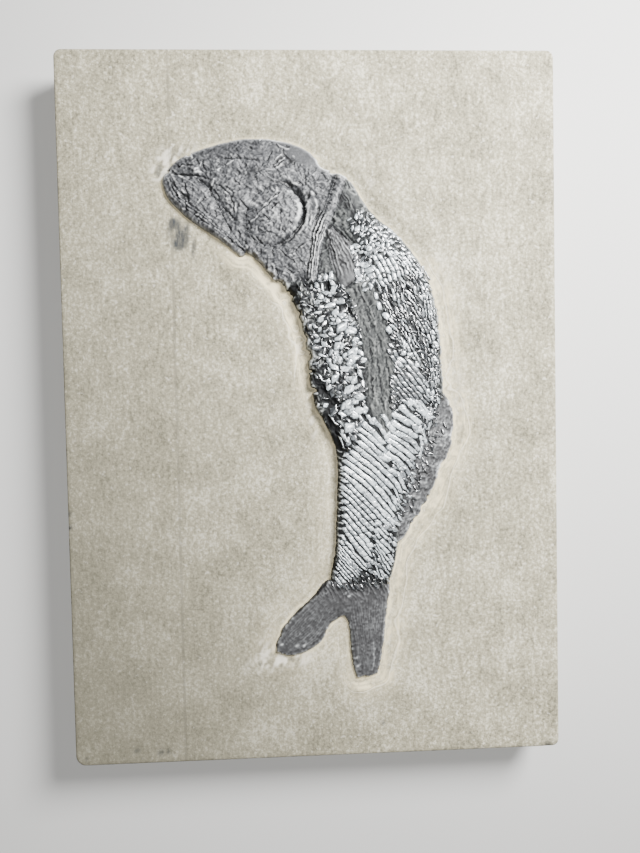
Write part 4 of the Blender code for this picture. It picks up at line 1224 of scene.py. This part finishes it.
# Each is (x, y, length, width, direction, tone).
belly_scales = [
    (11.4, 32.2, 4.4, 3.2, 20, 0.95), (14.8, 31, 4.0, 3.0, -10, 0.95), (10, 28.4, 3.2, 2.0, 20, 0.85),
    (9.4, 25.2, 2.2, 3.0, 0, 0.9),
    (11.6, 25, 2.6, 2.2, 60, 0.85), (17, 27.5, 2.6, 2.2, 0, 0.9), (15.5, 22.6, 4.6, 2.6, 15, 0.95),
    (19, 22, 2.2, 2.6, 80, 0.8),
    (10.4, 19.6, 2.2, 2.8, 40, 0.9), (12.6, 15.8, 4.2, 2.6, -10, 0.95), (14.6, 18.4, 2.4, 2.8, -30, 0.9),
    (8.2, 16.5, 2.3, 3.2, 90, 0.9),
    (8.4, 12, 3.0, 2.8, 20, 0.92), (18.5, 13.8, 3.4, 1.8, 100, 0.85), (16.2, 11.2, 3.0, 2.4, 30, 0.88),
    (14.3, 7.6, 4.0, 2.8, 20, 0.95),
    (18.2, 4.2, 3.4, 2.8, -50, 0.95), (16.4, 2.4, 2.4, 2.2, 0, 0.85), (12.8, 1.2, 4.4, 3.2, 15, 0.98),
    (15.8, -2.6, 4.6, 2.4, -45, 0.95),
    (13.8, -8, 4.4, 4.0, 10, 0.92), (20.4, -0.8, 3.4, 2.0, 70, 0.85), (18.4, -4, 2.6, 1.8, -60, 0.7),
    (10.6, -6.4, 3.4, 1.3, -60, 0.8),
    (11.6, -11.8, 4.8, 1.4, -55, 0.9), (1.5, 27.5, 2.2, 1.1, 30, 0.8), (1.5, 24.5, 4.0, 2.4, -10, 0.45),
    (4.6, 1.2, 1.6, 1.4, 0, 0.9),
    (1.7, 1.4, 1.6, 1.2, 60, 0.85), (6, 8.6, 2.0, 1.6, 40, 0.85), (7.5, 53.5, 2.0, 3.2, 0, 0.85),
    (8.4, 47.6, 2.6, 3.8, -10, 0.95),
    (7, 41.6, 4.2, 1.7, 5, 0.85), (9, 38.4, 3.0, 2.6, 40, 0.75), (11.4, 37.2, 3.0, 2.4, -40, 0.75),
    (8, 34, 3.2, 1.1, -10, 0.8),
    (-1.8, 39.4, 1.8, 1.6, 30, 0.85), (3.2, 45, 1.8, 2.6, 80, 0.8), (5.4, 43.4, 1.6, 2.4, 70, 0.7),
    (1.8, 49.6, 1.4, 2.6, 10, 0.7),
    (0.8, 29.6, 2.4, 2.0, -40, 0.5), (3.6, 21.6, 3.2, 1.4, -40, 0.75), (0.6, 33.4, 2.6, 1.3, -60, 0.75),
    (13.4, -13.4, 2.2, 3.0, 20, 0.85),
    (7.6, -4.4, 5.2, 0.8, -58, 0.85), (3, 12.4, 4.6, 0.8, -50, 0.7), (10.6, -13.6, 4.4, 0.7, -64, 0.8),
    (12.6, -18.6, 2.2, 1.6, 0, 0.8),
    (8.8, 19.6, 1.8, 1.6, 40, 0.85), (5.2, 31.4, 2.6, 1.4, 30, 0.55), (12.2, 21.4, 2.0, 1.8, 20, 0.85),
    (7.2, 22.6, 1.8, 2.2, 10, 0.8),
]
belly = new_plates()
for x, y, long, wide, turn, tone in belly_scales:
    lay(belly, chunk if wide > 1.9 else chip, x, y, 1.08 * long, 1.08 * wide, turn, tone - 0.04, lift=0.18,
        tip=dice.uniform(-6, 6), list_to=dice.uniform(-8, 8), thick=0.5)
taken = [(x, y, 0.42 * max(long, wide) + 0.4) for x, y, long, wide, turn, tone in belly_scales]
print(f"{len(belly_scales)} big belly scales")

# %% Scattered scales
belly_zone = [(-9, 50), (1, 52), (12, 50), (16, 42), (18, 34), (19.6, 24), (20, 12), (21, 2), (19, -6),
              (16.4, -12), (13, -19),
              (10.6, -14), (9, -6), (5, 2), (1, 12), (-0.6, 22), (-1.6, 30), (-3.4, 38), (-6, 45)]
belly_core = [(3, 54), (12, 50), (13, 40), (18, 32), (20, 20), (20, 6), (20, -6), (15, -14), (10, -10), (6, 4),
              (5, 16), (3.6, 26), (2, 38), (1.6, 46)]
print("belly:", scatter(belly, belly_core, 2.05, 2.7, -50, 70, 0.52, 0.50, taken, plates=(shard, chip, chunk),
                        slim=(0.45, 0.95)))
print("belly edge:", scatter(belly, belly_zone, 1.6, 2.0, -62, 40, 0.26, 0.26, taken, holes=True,
                             plates=(shard, chip), slim=(0.3, 0.8)))
back = new_plates()
nape_zone = [(15, 76), (20, 80), (24, 79), (33, 71), (30, 62), (22, 62), (18, 68)]
print("nape:", scatter(back, nape_zone, 1.55, 1.75, 30, 30, 0.52, 0.3, slim=(0.6, 0.9)))
crest_zone = [(24, 79), (34, 70.4), (42.4, 60), (36, 58), (31, 63), (24, 63)]
print("back:", scatter(back, crest_zone, 1.6, 2.1, -38, 16, 0.68, 0.3, slim=(0.55, 0.85)))
rim_zone = [(43, 60), (49, 48), (51.4, 36), (52.4, 20), (52.8, 6), (50, -3), (46, -10), (44, -8), (47.6, 2),
            (48.6, 14), (48.6, 26), (47.4, 40), (42, 54)]
print("rim:", scatter(back, rim_zone, 1.6, 2.0, -65, 30, 0.52, 0.34, slim=(0.5, 0.8)))
gap_zone = [(18, 60), (26, 50), (30, 40), (33, 30), (36, 24), (41, 18), (46, 20), (49, 34), (49, 44), (46, 54),
            (40, 59), (36, 56), (30, 52), (26, 50), (24, 56)]
print("upper flank:", scatter(back, gap_zone, 1.3, 3.0, -68, 16, 0.42, 0.34, holes=True, plates=(shard,),
                              slim=(0.22, 0.42)))
crumb_zone = [(27, 62), (42, 60), (50, 46), (52, 20), (50, 0), (45, -8), (31, -4), (31, 10), (33, 20), (30, 34),
              (28, 44)]
print("crumbs between:", scatter(back, crumb_zone, 1.0, 1.5, -62, 30, 0.24, 0.18, holes=True, plates=(shard, chip),
                                 slim=(0.4, 0.8)))
fin_root_zone = [(46, -2), (52, -3), (54, -9), (50, -17), (46, -25), (43, -33), (39, -42), (35.6, -48),
                 (34.8, -42), (37, -31), (41, -20), (44, -10)]
print("back fin root:", scatter(back, fin_root_zone, 2.0, 2.0, -60, 34, 0.22, 0.16, plates=(shard,),
                                slim=(0.25, 0.5)))
row_ends = [(29, -17), (37, -24), (41, -21), (42, -18), (39.6, -32), (36, -43), (32.6, -49), (31, -44), (33, -36),
            (33, -28)]
print("row ends:", scatter(back, row_ends, 1.6, 2.6, -58, 10, 0.62, 0.2, holes=True))
stem_gaps = [(22, -46), (33.6, -39), (34, -46), (32, -56), (30.6, -64), (29, -70), (22, -69), (15, -66), (9, -62),
             (8, -66), (21, -56)]
print("stem gaps:", scatter(rear, stem_gaps, 1.8, 2.4, -56, 5, 0.66, 0.2, holes=True))
stem_foot = [(5, -70), (14.6, -66), (20, -66), (29.6, -64), (29, -72), (28, -74), (18, -74), (6, -73)]
print("stem foot:", scatter(rear, stem_foot, 1.7, 2.6, -64, 6, 0.24, 0.14, holes=True, plates=(shard,),
                            slim=(0.25, 0.4)))
shoulder_zone = [(15.6, 65), (19, 68), (24, 65), (25, 57), (24.6, 48), (22, 46), (18, 52), (16.6, 60)]
print("behind the fin:", scatter(back, shoulder_zone, 1.6, 2.1, 20, 40, 0.64, 0.28, holes=True, slim=(0.55, 0.9)))
bright_lobes = [(30.4, 31.4, 3.2, 2.8, -60), (25.4, 45, 3.4, 1.7, -80), (26.9, 41, 3.8, 2.1, -70),
                (29.4, 37, 3.4, 2.7, -50), (23.6, 49.4, 2.4, 1.6, -60), (37, 25.6, 3.2, 1.8, -70),
                (36.4, 22, 2.2, 2.0, 0), (39, 21.4, 2.4, 1.8, -20), (42, 17, 2.2, 2.0, 0),
                (20.4, 57.6, 2.8, 2.2, 50), (18.4, 57.6, 2.6, 1.6, 30),
                (19, 52, 2.2, 2.0, 0), (46.4, 6.6, 2.0, 1.8, 0), (48, 3, 1.8, 1.6, 0), (50.6, 31, 2.2, 1.6, 0),
                (50.2, 24.6, 2.0, 1.8, 0),
                (50, 19, 2.0, 1.6, 0), (18.6, 71.8, 2.0, 2.0, 0), (23.4, 64, 2.6, 2.2, -30),
                (20, 69.6, 1.8, 1.6, 0), (45, 45, 1.8, 1.6, 0)]
for x, y, long, wide, turn in bright_lobes:
    lay(back, lobe, x, y, long, wide, turn, 0.92, lift=0.2, thick=0.5)
print(f"{len(bright_lobes)} bright lobes")

# %% [markdown]
# Ganoine is the fish's own enamel. It is hard, clear and glossy over pale grey bone, so a scale shows a cool
# blue-grey body with a sharp reflection on top. Its colour runs up to near white, lighter than the bone alone:
# in part a painted reflection. The bed round the scales is near black.

# %% Ganoine
ganoine, shader = new_material("ganoine_enamel")
place = add(ganoine, "TexCoord", {}).outputs["Object"]
tone, crown = (add(ganoine, "Attribute", {}, attribute_name=name).outputs["Fac"] for name in ("tone", "crown"))
cloud = add(ganoine, "TexNoise", {"Vector": place, "Scale": 1 / (1.7 * MM), "Detail": 4.0, "Roughness": 0.7})
centred = add(ganoine, "Math", {0: cloud, 1: 0.5}, operation="SUBTRACT")
body = add(ganoine, "Math", {0: centred, 1: 1.3, 2: tone}, operation="MULTIPLY_ADD")
# The crown darkens the body towards each plate's rim: painted shade.
rim_shaded = add(ganoine, "Math", {0: body, 1: crown}, operation="MULTIPLY")
specks = add(ganoine, "TexNoise", {"Vector": place, "Scale": 1 / (0.9 * MM), "Detail": 3.0, "Roughness": 0.65})
flaws = add(ganoine, "MapRange", {"Value": specks, "From Min": 0.36, "From Max": 0.47, "To Min": 0.45,
                                  "To Max": 1.0})
flawed = add(ganoine, "Math", {0: rim_shaded, 1: flaws}, operation="MULTIPLY")
# The ramp's near-white top is in part a painted reflection of the enamel's gloss.
colour = add(ganoine, "ValToRGB", {"Fac": flawed},
             stops=[(0.0, "#0c0d0f"), (0.30, "#3f4245"), (0.55, "#858a8d"), (0.80, "#c8d2d6"), (1.0, "#f2f9fb")])
pores = add(ganoine, "TexNoise", {"Vector": place, "Scale": 1 / (0.5 * MM), "Detail": 2.0})
bump = add(ganoine, "Bump", {"Height": pores, "Strength": 0.25, "Distance": 0.1 * MM})
connect(shader, {"Base Color": colour, "Normal": bump, "Roughness": 0.36, "IOR": 1.62, "Coat Weight": 1.0,
                 "Coat IOR": 2.2, "Coat Roughness": 0.15})
for name, plates, amount in (("rear_flank_scales", rear, 0.8), ("torn_flank_scales", torn, 0.9),
                             ("belly_scales", belly, 1.8), ("back_scales", back, 1.2)):
    roughen(plates, amount)
    finish_piece(name, plates, ganoine, "scale_coat")

# %% The bed
bed_matter, shader = new_material("scale_bed_carbonised")
place = add(bed_matter, "TexCoord", {}).outputs["Object"]
mottle = add(bed_matter, "TexNoise", {"Vector": place, "Scale": 1 / (1.2 * MM), "Detail": 4.0})
tone = shaded_wear_tone(bed_matter, mottle, 0.3, [(0.0, "#090a0b"), (0.25, "#1d1f20"), (0.5, "#4f5150"),
                                           (0.75, "#7d7f7c"), (1.0, "#b5b8b6")])
bump = add(bed_matter, "Bump", {"Height": mottle, "Strength": 0.35, "Distance": 0.15 * MM})
connect(shader, {"Base Color": tone, "Normal": bump, "Roughness": 0.75, "Specular IOR Level": 0.3})
raised_sheet("scale_bed", "scale_coat", bed_matter)

# %% [markdown]
# ## The stone
# The slab is shale, sawn and rubbed flat. Round the fish it was scraped lower with a scalpel, which left a pale
# band with a faint lip. One grid makes the face. It is split finer near the fish, and its rim is drawn out
# and down in rings to make the worn edge and the sawn sides.

# %% The face of the stone on the map
stone = blurred(np.where(stone_top < -1.4, -0.7, np.nan_to_num(stone_top)), 0.8)
scraped = eased(-stone, 0.05, 0.55)
stone += scraped * (0.10 * lumps(X, Y, 2.6, 31) + 0.05 * lumps(X, Y, 1.1, 32))
stone += 0.05 * lumps(X, Y, 5, 33)
lip = np.exp(-((depth + 6.0 + 2.2 * lumps(X, Y, 14, 34) + 0.8 * lumps(X, Y, 4, 44)) / 0.6) ** 2)
lip *= eased(lumps(X, Y, 7, 45), -0.6, 0.2)
stone += 0.10 * lip * eased(lumps(X, Y, 18, 35), -0.5, 0.3)
belly_band = eased(-X + 0.45 * (Y - 40), -16, 4) * eased(-Y, -70, -54)
back_band = eased(X - 0.2 * Y, 30, 44) * eased(-Y, -70, -55)
# Along the belly the band is narrow. Behind the back it is broad and mottled.
mottled = np.clip(0.26 + 0.8 * lumps(X, Y, 2.4, 47) + 0.6 * lumps(X, Y, 0.9, 50), 0, 1)
mottled *= eased(depth + 1.6 * lumps(X, Y, 7, 51), -9, -3)
# A pale line just outside the outline: scraped stone, painted pale enough to lift the fish's cast shadow there.
rim_line_and_painted_light = (0.75 + 0.45 * lumps(X, Y, 2.6, 49)) * np.exp(-((depth + 0.7) / 0.7) ** 2)
# The halo holds the scraped band and that painted light.
halo_and_painted_light = np.clip(0.85 * eased(depth + 0.8 * lumps(X, Y, 5, 46), -6.4,
                            -3.4) * belly_band + mottled * back_band + rim_line_and_painted_light
               + (0.20 + 0.18 * back_band) * eased(depth, -14, -3) * eased(-Y, -72, -50), 0, 1)
stain, chalk = np.zeros(X.shape), np.zeros(X.shape)
for x, y, long, wide, turn, amount in ((-54.6, 73.0, 8.6, 7.4, 80, 0.75), (-53.4, 68.6, 7.0, 4.6, 75, 0.7),
                                       (-50.6, 70.8, 10, 3.6, 82, 0.75), (-55.4, 76, 3.6, 4, 30, 0.5),
                                       (-47.4, 66.6, 7.4, 1.7, 84, 0.9),
                                       (-52, 66.4, 2.2, 1.4, 60, 0.4), (8, 97.4, 8, 1.2, 4, 0.4),
                                       (-52.4, 103, 1.4, 3.2, -10, 0.6), (-58, 95.6, 2.4, 1.4, 0, 0.35)):
    blob(stain, x, y, long, wide, amount, turn, 3)
stain *= 2.0 * np.clip(0.78 + 0.7 * lumps(*turned(86, 4), 1.3, 37), 0, 1.2)
for x, y, long, wide, turn, amount in ((-57, 101, 14, 10, 45, 0.8), (-60, 95, 7, 7, 0, 0.5),
                                       (-50, 104.6, 10, 4, 30, 0.6), (-18, -104, 22, 8, 10, 0.7),
                                       (-23, -100, 6, 10, 0, 0.5),
                                       (-8, -104, 10, 5, 10, 0.5), (24, 93, 12, 5, -50, 0.25),
                                       (54, 55, 5, 14, 10, 0.35), (60, 4, 5, 26, 0, 0.3), (-1, -6, 3, 22, 10, 0.3)):
    blob(chalk, x, y, long, wide, amount, turn, 3)
scratches = lumps(*turned(64, 3), 0.9, 38) + 0.5 * lumps(*turned(-20, 2), 0.8, 40)
stain += np.clip(-1.1 * chalk * scratches - 0.15, 0, 0.7)
chalk *= 1.8 * np.clip(0.25 + 1.3 * scratches, 0, 1)
stone += 0.20 * chalk * scratches
stain = np.clip(stain, 0, 1)
print(f"scraped band: {float(scraped.sum()) * CELL ** 2:.0f} square mm")

# %% The slab
ARRIS = 0.7 * MM             # how far the worn edge is rounded over
NEAR, UNDER = 9.5, 1.6       # millimetres outside and inside the fish's outline where the grid is split finer
FAR_OFF = -99                # the depth that points beyond the map are given
face_width, face_length = slab_size.x - 2 * ARRIS, slab_size.y - 2 * ARRIS
inside_stone = stone - 1.25 * eased(depth, 0.8, 1.6)
# Each chip at the rim is (x, y, size).
pits = [(-100.3, -46.2, 0.9), (-100.2, -41, 0.7), (-76, -139.5, 1.0), (-66.3, -140.8, 1.2), (-63.2, -140.5, 1.0),
        (-96.5, -142.4, 0.7),
        (26.1, -132, 0.9), (96.2, -144.6, 1.6)]


def sample(layer, x, y, beyond=0.0):
    """A layer's value between the map's points, and beyond outside the map."""
    u, v = (x / MM - west) / CELL, (y / MM - south) / CELL
    i, j = int(math.floor(u)), int(math.floor(v))
    if not (0 <= i < across - 1 and 0 <= j < upward - 1):
        return beyond
    f, g = u - i, v - j
    near_row, far_row = (layer[i, k] * (1 - f) + layer[i + 1, k] * f for k in (j, j + 1))
    return float(near_row * (1 - g) + far_row * g)


slab = bmesh.new()
layers = {name: slab.verts.layers.float.new(name) for name in ("halo_and_painted_light", "stain", "chalk", "away")}
bmesh.ops.create_grid(slab, x_segments=168, y_segments=242, size=0.5)
bmesh.ops.scale(slab, verts=slab.verts, vec=(face_width, face_length, 1))
for vert in slab.verts:      # round the corners: a square corner is mapped on a quarter of a disc
    radius = (4.0 if vert.co.x < 0 and vert.co.y < 0 else 2.8) * MM
    a, b = (max(0, abs(c) - (size / 2 - radius)) for c, size in ((vert.co.x, face_width), (vert.co.y, face_length)))
    vert.co.x -= math.copysign(a - a * math.sqrt(1 - b * b / (2 * radius * radius)), vert.co.x)
    vert.co.y -= math.copysign(b - b * math.sqrt(1 - a * a / (2 * radius * radius)), vert.co.y)
near_outline = []
for edge in slab.edges:
    if all(-NEAR < sample(depth, vert.co.x, vert.co.y, FAR_OFF) < UNDER for vert in edge.verts):
        near_outline.append(edge)
bmesh.ops.subdivide_edges(slab, edges=near_outline, cuts=1, use_grid_fill=True)
for vert in slab.verts:
    x, y = vert.co.x, vert.co.y
    for name, layer in (("halo_and_painted_light", halo_and_painted_light), ("stain", stain), ("chalk", chalk)):
        vert[layers[name]] = sample(layer, x, y)
    vert[layers["away"]] = -sample(depth, x, y, FAR_OFF)
    vert.co.z = TOP + sample(inside_stone, x, y) * MM
    for px, py, size in pits:
        away = math.hypot(x / MM - px, y / MM - py) / size
        vert.co.z -= 0.5 * MM * math.exp(-away ** 2)
        vert[layers["stain"]] = max(vert[layers["stain"]], math.exp(-away ** 2))
print("face:", len(slab.verts), "points")

# %% Its worn edge and sawn sides
# Each ring is (millimetres out from the face's rim, millimetres down).
for out, low in ((0.5, 0.2), (0.7, 0.7), (0.7, 4), (0.55, 7.5), (0.69, 11), (0.6, 15), (0.7, 18.5), (0.7, 21.3),
                 (0.2, 22)):
    rim = [edge for edge in slab.edges if edge.is_boundary]
    grown = bmesh.ops.extrude_edge_only(slab, edges=rim)["geom"]
    ring = [item for item in grown if isinstance(item, bmesh.types.BMVert)]
    half_x = max(v.co.x for v in ring)
    half_y = max(v.co.y for v in ring)
    target_x, target_y = face_width / 2 + out * MM, face_length / 2 + out * MM
    bmesh.ops.scale(slab, verts=ring, vec=(target_x / half_x, target_y / half_y, 1))
    for vert in ring:
        # The first ring follows the face. The others are level.
        vert.co.z = TOP - low * MM if low > 0.6 else vert.co.z - low * MM
foot = [edge for edge in slab.edges if edge.is_boundary]
bmesh.ops.contextual_create(slab, geom=foot)
bmesh.ops.recalc_face_normals(slab, faces=slab.faces)
print("slab closed")

# %% [markdown]
# Rubbed shale is matt and finely grained. The saw and the rubbing stone ran along it, so faint streaks run the
# same way, and the clay is mottled where it weathered. Four noises make that body colour: the weights of the
# three finest sum to about 1, so their mean stays at a half, where the ramp is centred.

# %% Shale's body colour
shale, shader = new_material("shale_sawn_rubbed")
where = add(shale, "TexCoord", {}).outputs["Object"]
mottle = add(shale, "TexNoise", {"Vector": where, "Scale": 1 / (16 * MM), "Detail": 2.0, "Roughness": 0.5})
long_grain = add(shale, "Mapping", {"Vector": where, "Rotation": (0.0, 0.0, 0.03), "Scale": (1.0, 0.2, 1.0)})
streaks = add(shale, "TexNoise", {"Vector": long_grain, "Scale": 1 / (1.5 * MM), "Detail": 5.0, "Roughness": 0.7})
askew = add(shale, "Mapping", {"Vector": where, "Rotation": (0.6, 0.5, 0.7)})      # so no grain lies along the axes
flecks = add(shale, "TexNoise", {"Vector": askew, "Scale": 1 / (1.25 * MM), "Detail": 4.0, "Roughness": 0.8})
spots = add(shale, "TexNoise", {"Vector": askew, "Scale": 1 / (2.0 * MM), "Detail": 2.0, "Roughness": 0.6})
third = add(shale, "Math", {0: mottle, 1: 0.18}, operation="MULTIPLY")
both = add(shale, "Math", {0: streaks, 1: 0.24, 2: third}, operation="MULTIPLY_ADD")
all_three = add(shale, "Math", {0: flecks, 1: 0.58, 2: both}, operation="MULTIPLY_ADD")
# Round the tail the face was scraped over a wider stretch, so it's fresher and lighter there.
from_tail = add(shale, "VectorMath", {0: where, 1: (16 * MM, -95 * MM, TOP)}, operation="DISTANCE")
fresh = add(shale, "MapRange", {"Value": from_tail.outputs["Value"], "From Min": 66 * MM, "From Max": 14 * MM,
                                "To Max": 0.032}, interpolation_type="SMOOTHSTEP")
lighter = add(shale, "Math", {0: all_three, 1: fresh})
body = add(shale, "ValToRGB", {"Fac": lighter},
           stops=[(0.395, "#6f6b5a"), (0.468, "#99937d"), (0.532, "#b0a991"), (0.605, "#dfd9c3")])
print("body colour mixed")

# %% [markdown]
# Over the body colour lie thin coats, each with its own amount at each place: white grains and dark pits, painted
# shade towards one corner, the scraped band with painted light at the outline, the painted highlight and shade of
# its step, scratches, the stain and a vein. The amounts come first.

# %% Amounts of the coats
halo_and_light_at, stain_at, chalk_at, away_at = (
    add(shale, "Attribute", {}, attribute_name=name).outputs["Fac"] for name in ("halo_and_painted_light", "stain", "chalk", "away"))
axes = add(shale, "SeparateXYZ", {"Vector": where})
white_grains = add(shale, "MapRange", {"Value": spots, "From Min": 0.64, "From Max": 0.71, "To Max": 0.55})
dark_pits = add(shale, "MapRange", {"Value": spots, "From Min": 0.345, "From Max": 0.27, "To Max": 0.5})
# Painted shade: the slab is darker towards its lower left corner, as if the light fell off there.
to_corner = add(shale, "VectorMath", {0: where, 1: (-0.9, -0.44, 0.0)}, operation="DOT_PRODUCT")
painted_falloff = add(shale, "MapRange", {"Value": to_corner.outputs["Value"], "From Min": 0 * MM, "From Max": 128 * MM,
                                  "To Max": 0.72})
# The scalpel's strokes run beside the fish: a noise that is long along the slab, and narrow away from the outline.
along = add(shale, "Math", {0: axes.outputs["Y"], 1: 0.10 / MM}, operation="MULTIPLY")
beside = add(shale, "CombineXYZ", {"X": away_at, "Y": along})
cuts = add(shale, "TexNoise", {"Vector": beside, "Scale": 0.9, "Detail": 4.0, "Roughness": 0.65})
crisp = add(shale, "MapRange", {"Value": cuts, "From Min": 0.42, "From Max": 0.58, "To Min": 0.35, "To Max": 1.15})
# The scraped band and the painted light at the outline, cut by those strokes.
cut_halo_and_light = add(shale, "Math", {0: crisp, 1: halo_and_light_at}, operation="MULTIPLY")
# The band ends in a small step, painted as a highlight line with a shade line inside it. Each is (distance, half
# width, strength).
wobble = add(shale, "Math", {0: mottle, 1: 12.0, 2: away_at}, operation="MULTIPLY_ADD")
near_fish = add(shale, "MapRange", {"Value": halo_and_light_at, "From Min": 0.1, "From Max": 0.35})
step_light_and_shade = []
for middle, half_width, strength in ((11.2, 0.22, 0.55), (10.6, 0.16, 0.35)):
    line = add(shale, "Math", {0: wobble, 1: middle, 2: half_width}, operation="COMPARE")
    kept = add(shale, "Math", {0: line, 1: near_fish}, operation="MULTIPLY")
    step_light_and_shade.append(add(shale, "Math", {0: kept, 1: strength}, operation="MULTIPLY"))
streaky = add(shale, "MapRange", {"Value": streaks, "From Min": 0.38, "From Max": 0.56, "To Min": 0.70,
                                  "To Max": 1.0})
stain_share = add(shale, "Math", {0: stain_at, 1: streaky}, operation="MULTIPLY")
# One straight dark hairline runs along the slab where a thin vein was cut.
from_vein = add(shale, "Math", {0: axes, 1: -56 * MM, 2: 0.55 * MM}, operation="COMPARE")
breaks = add(shale, "Math", {0: flecks, 1: 0.46}, operation="GREATER_THAN")
vein = add(shale, "Math", {0: from_vein, 1: breaks}, operation="MULTIPLY")
faint_vein = add(shale, "Math", {0: vein, 1: 0.32}, operation="MULTIPLY")
print("coats measured out")

# %% Lay the coats, one over another
MIX_A, MIX_B, MIXED = 6, 7, 2     # a Mix node's sockets for colours
colour = body
for amount, paint in ((white_grains, "#efe9d8"), (dark_pits, "#6a675c"), (painted_falloff, "#666355"),
                      (cut_halo_and_light, "#ebddb6"),
                      (step_light_and_shade[0], "#efe7d2"), (step_light_and_shade[1], "#87806c"), (chalk_at, "#d9d3c2"),
                      (stain_share, "#3c3e3f"), (faint_vein, "#4c4943")):
    coat_over = add(shale, "Mix", {0: amount, MIX_A: colour, MIX_B: linear(paint)}, data_type="RGBA")
    colour = coat_over.outputs[MIXED]
# On the sides the beds show: flat layers a millimetre or two thick.
flat = add(shale, "Mapping", {"Vector": where, "Scale": (0.08, 0.08, 1.0)})
beds = add(shale, "TexNoise", {"Vector": flat, "Scale": 1 / (1.8 * MM), "Detail": 4.0, "Roughness": 0.7})
grain = add(shale, "TexNoise", {"Vector": where, "Scale": 1 / (0.7 * MM), "Detail": 3.0, "Roughness": 0.7})
rough = add(shale, "Math", {0: grain, 1: 0.5, 2: streaks}, operation="MULTIPLY_ADD")
rougher = add(shale, "Math", {0: beds, 1: 0.8, 2: rough}, operation="MULTIPLY_ADD")
bump = add(shale, "Bump", {"Height": rougher, "Strength": 0.30, "Distance": 0.25 * MM})
connect(shader, {"Base Color": colour, "Normal": bump, "Roughness": 0.88, "Specular IOR Level": 0.3})
finish_piece("shale_slab", slab, shale, "slab")

# %% [markdown]
# ## Sizes
# The box round the dressed model is found.

# %% The dressed model's box
low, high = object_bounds()
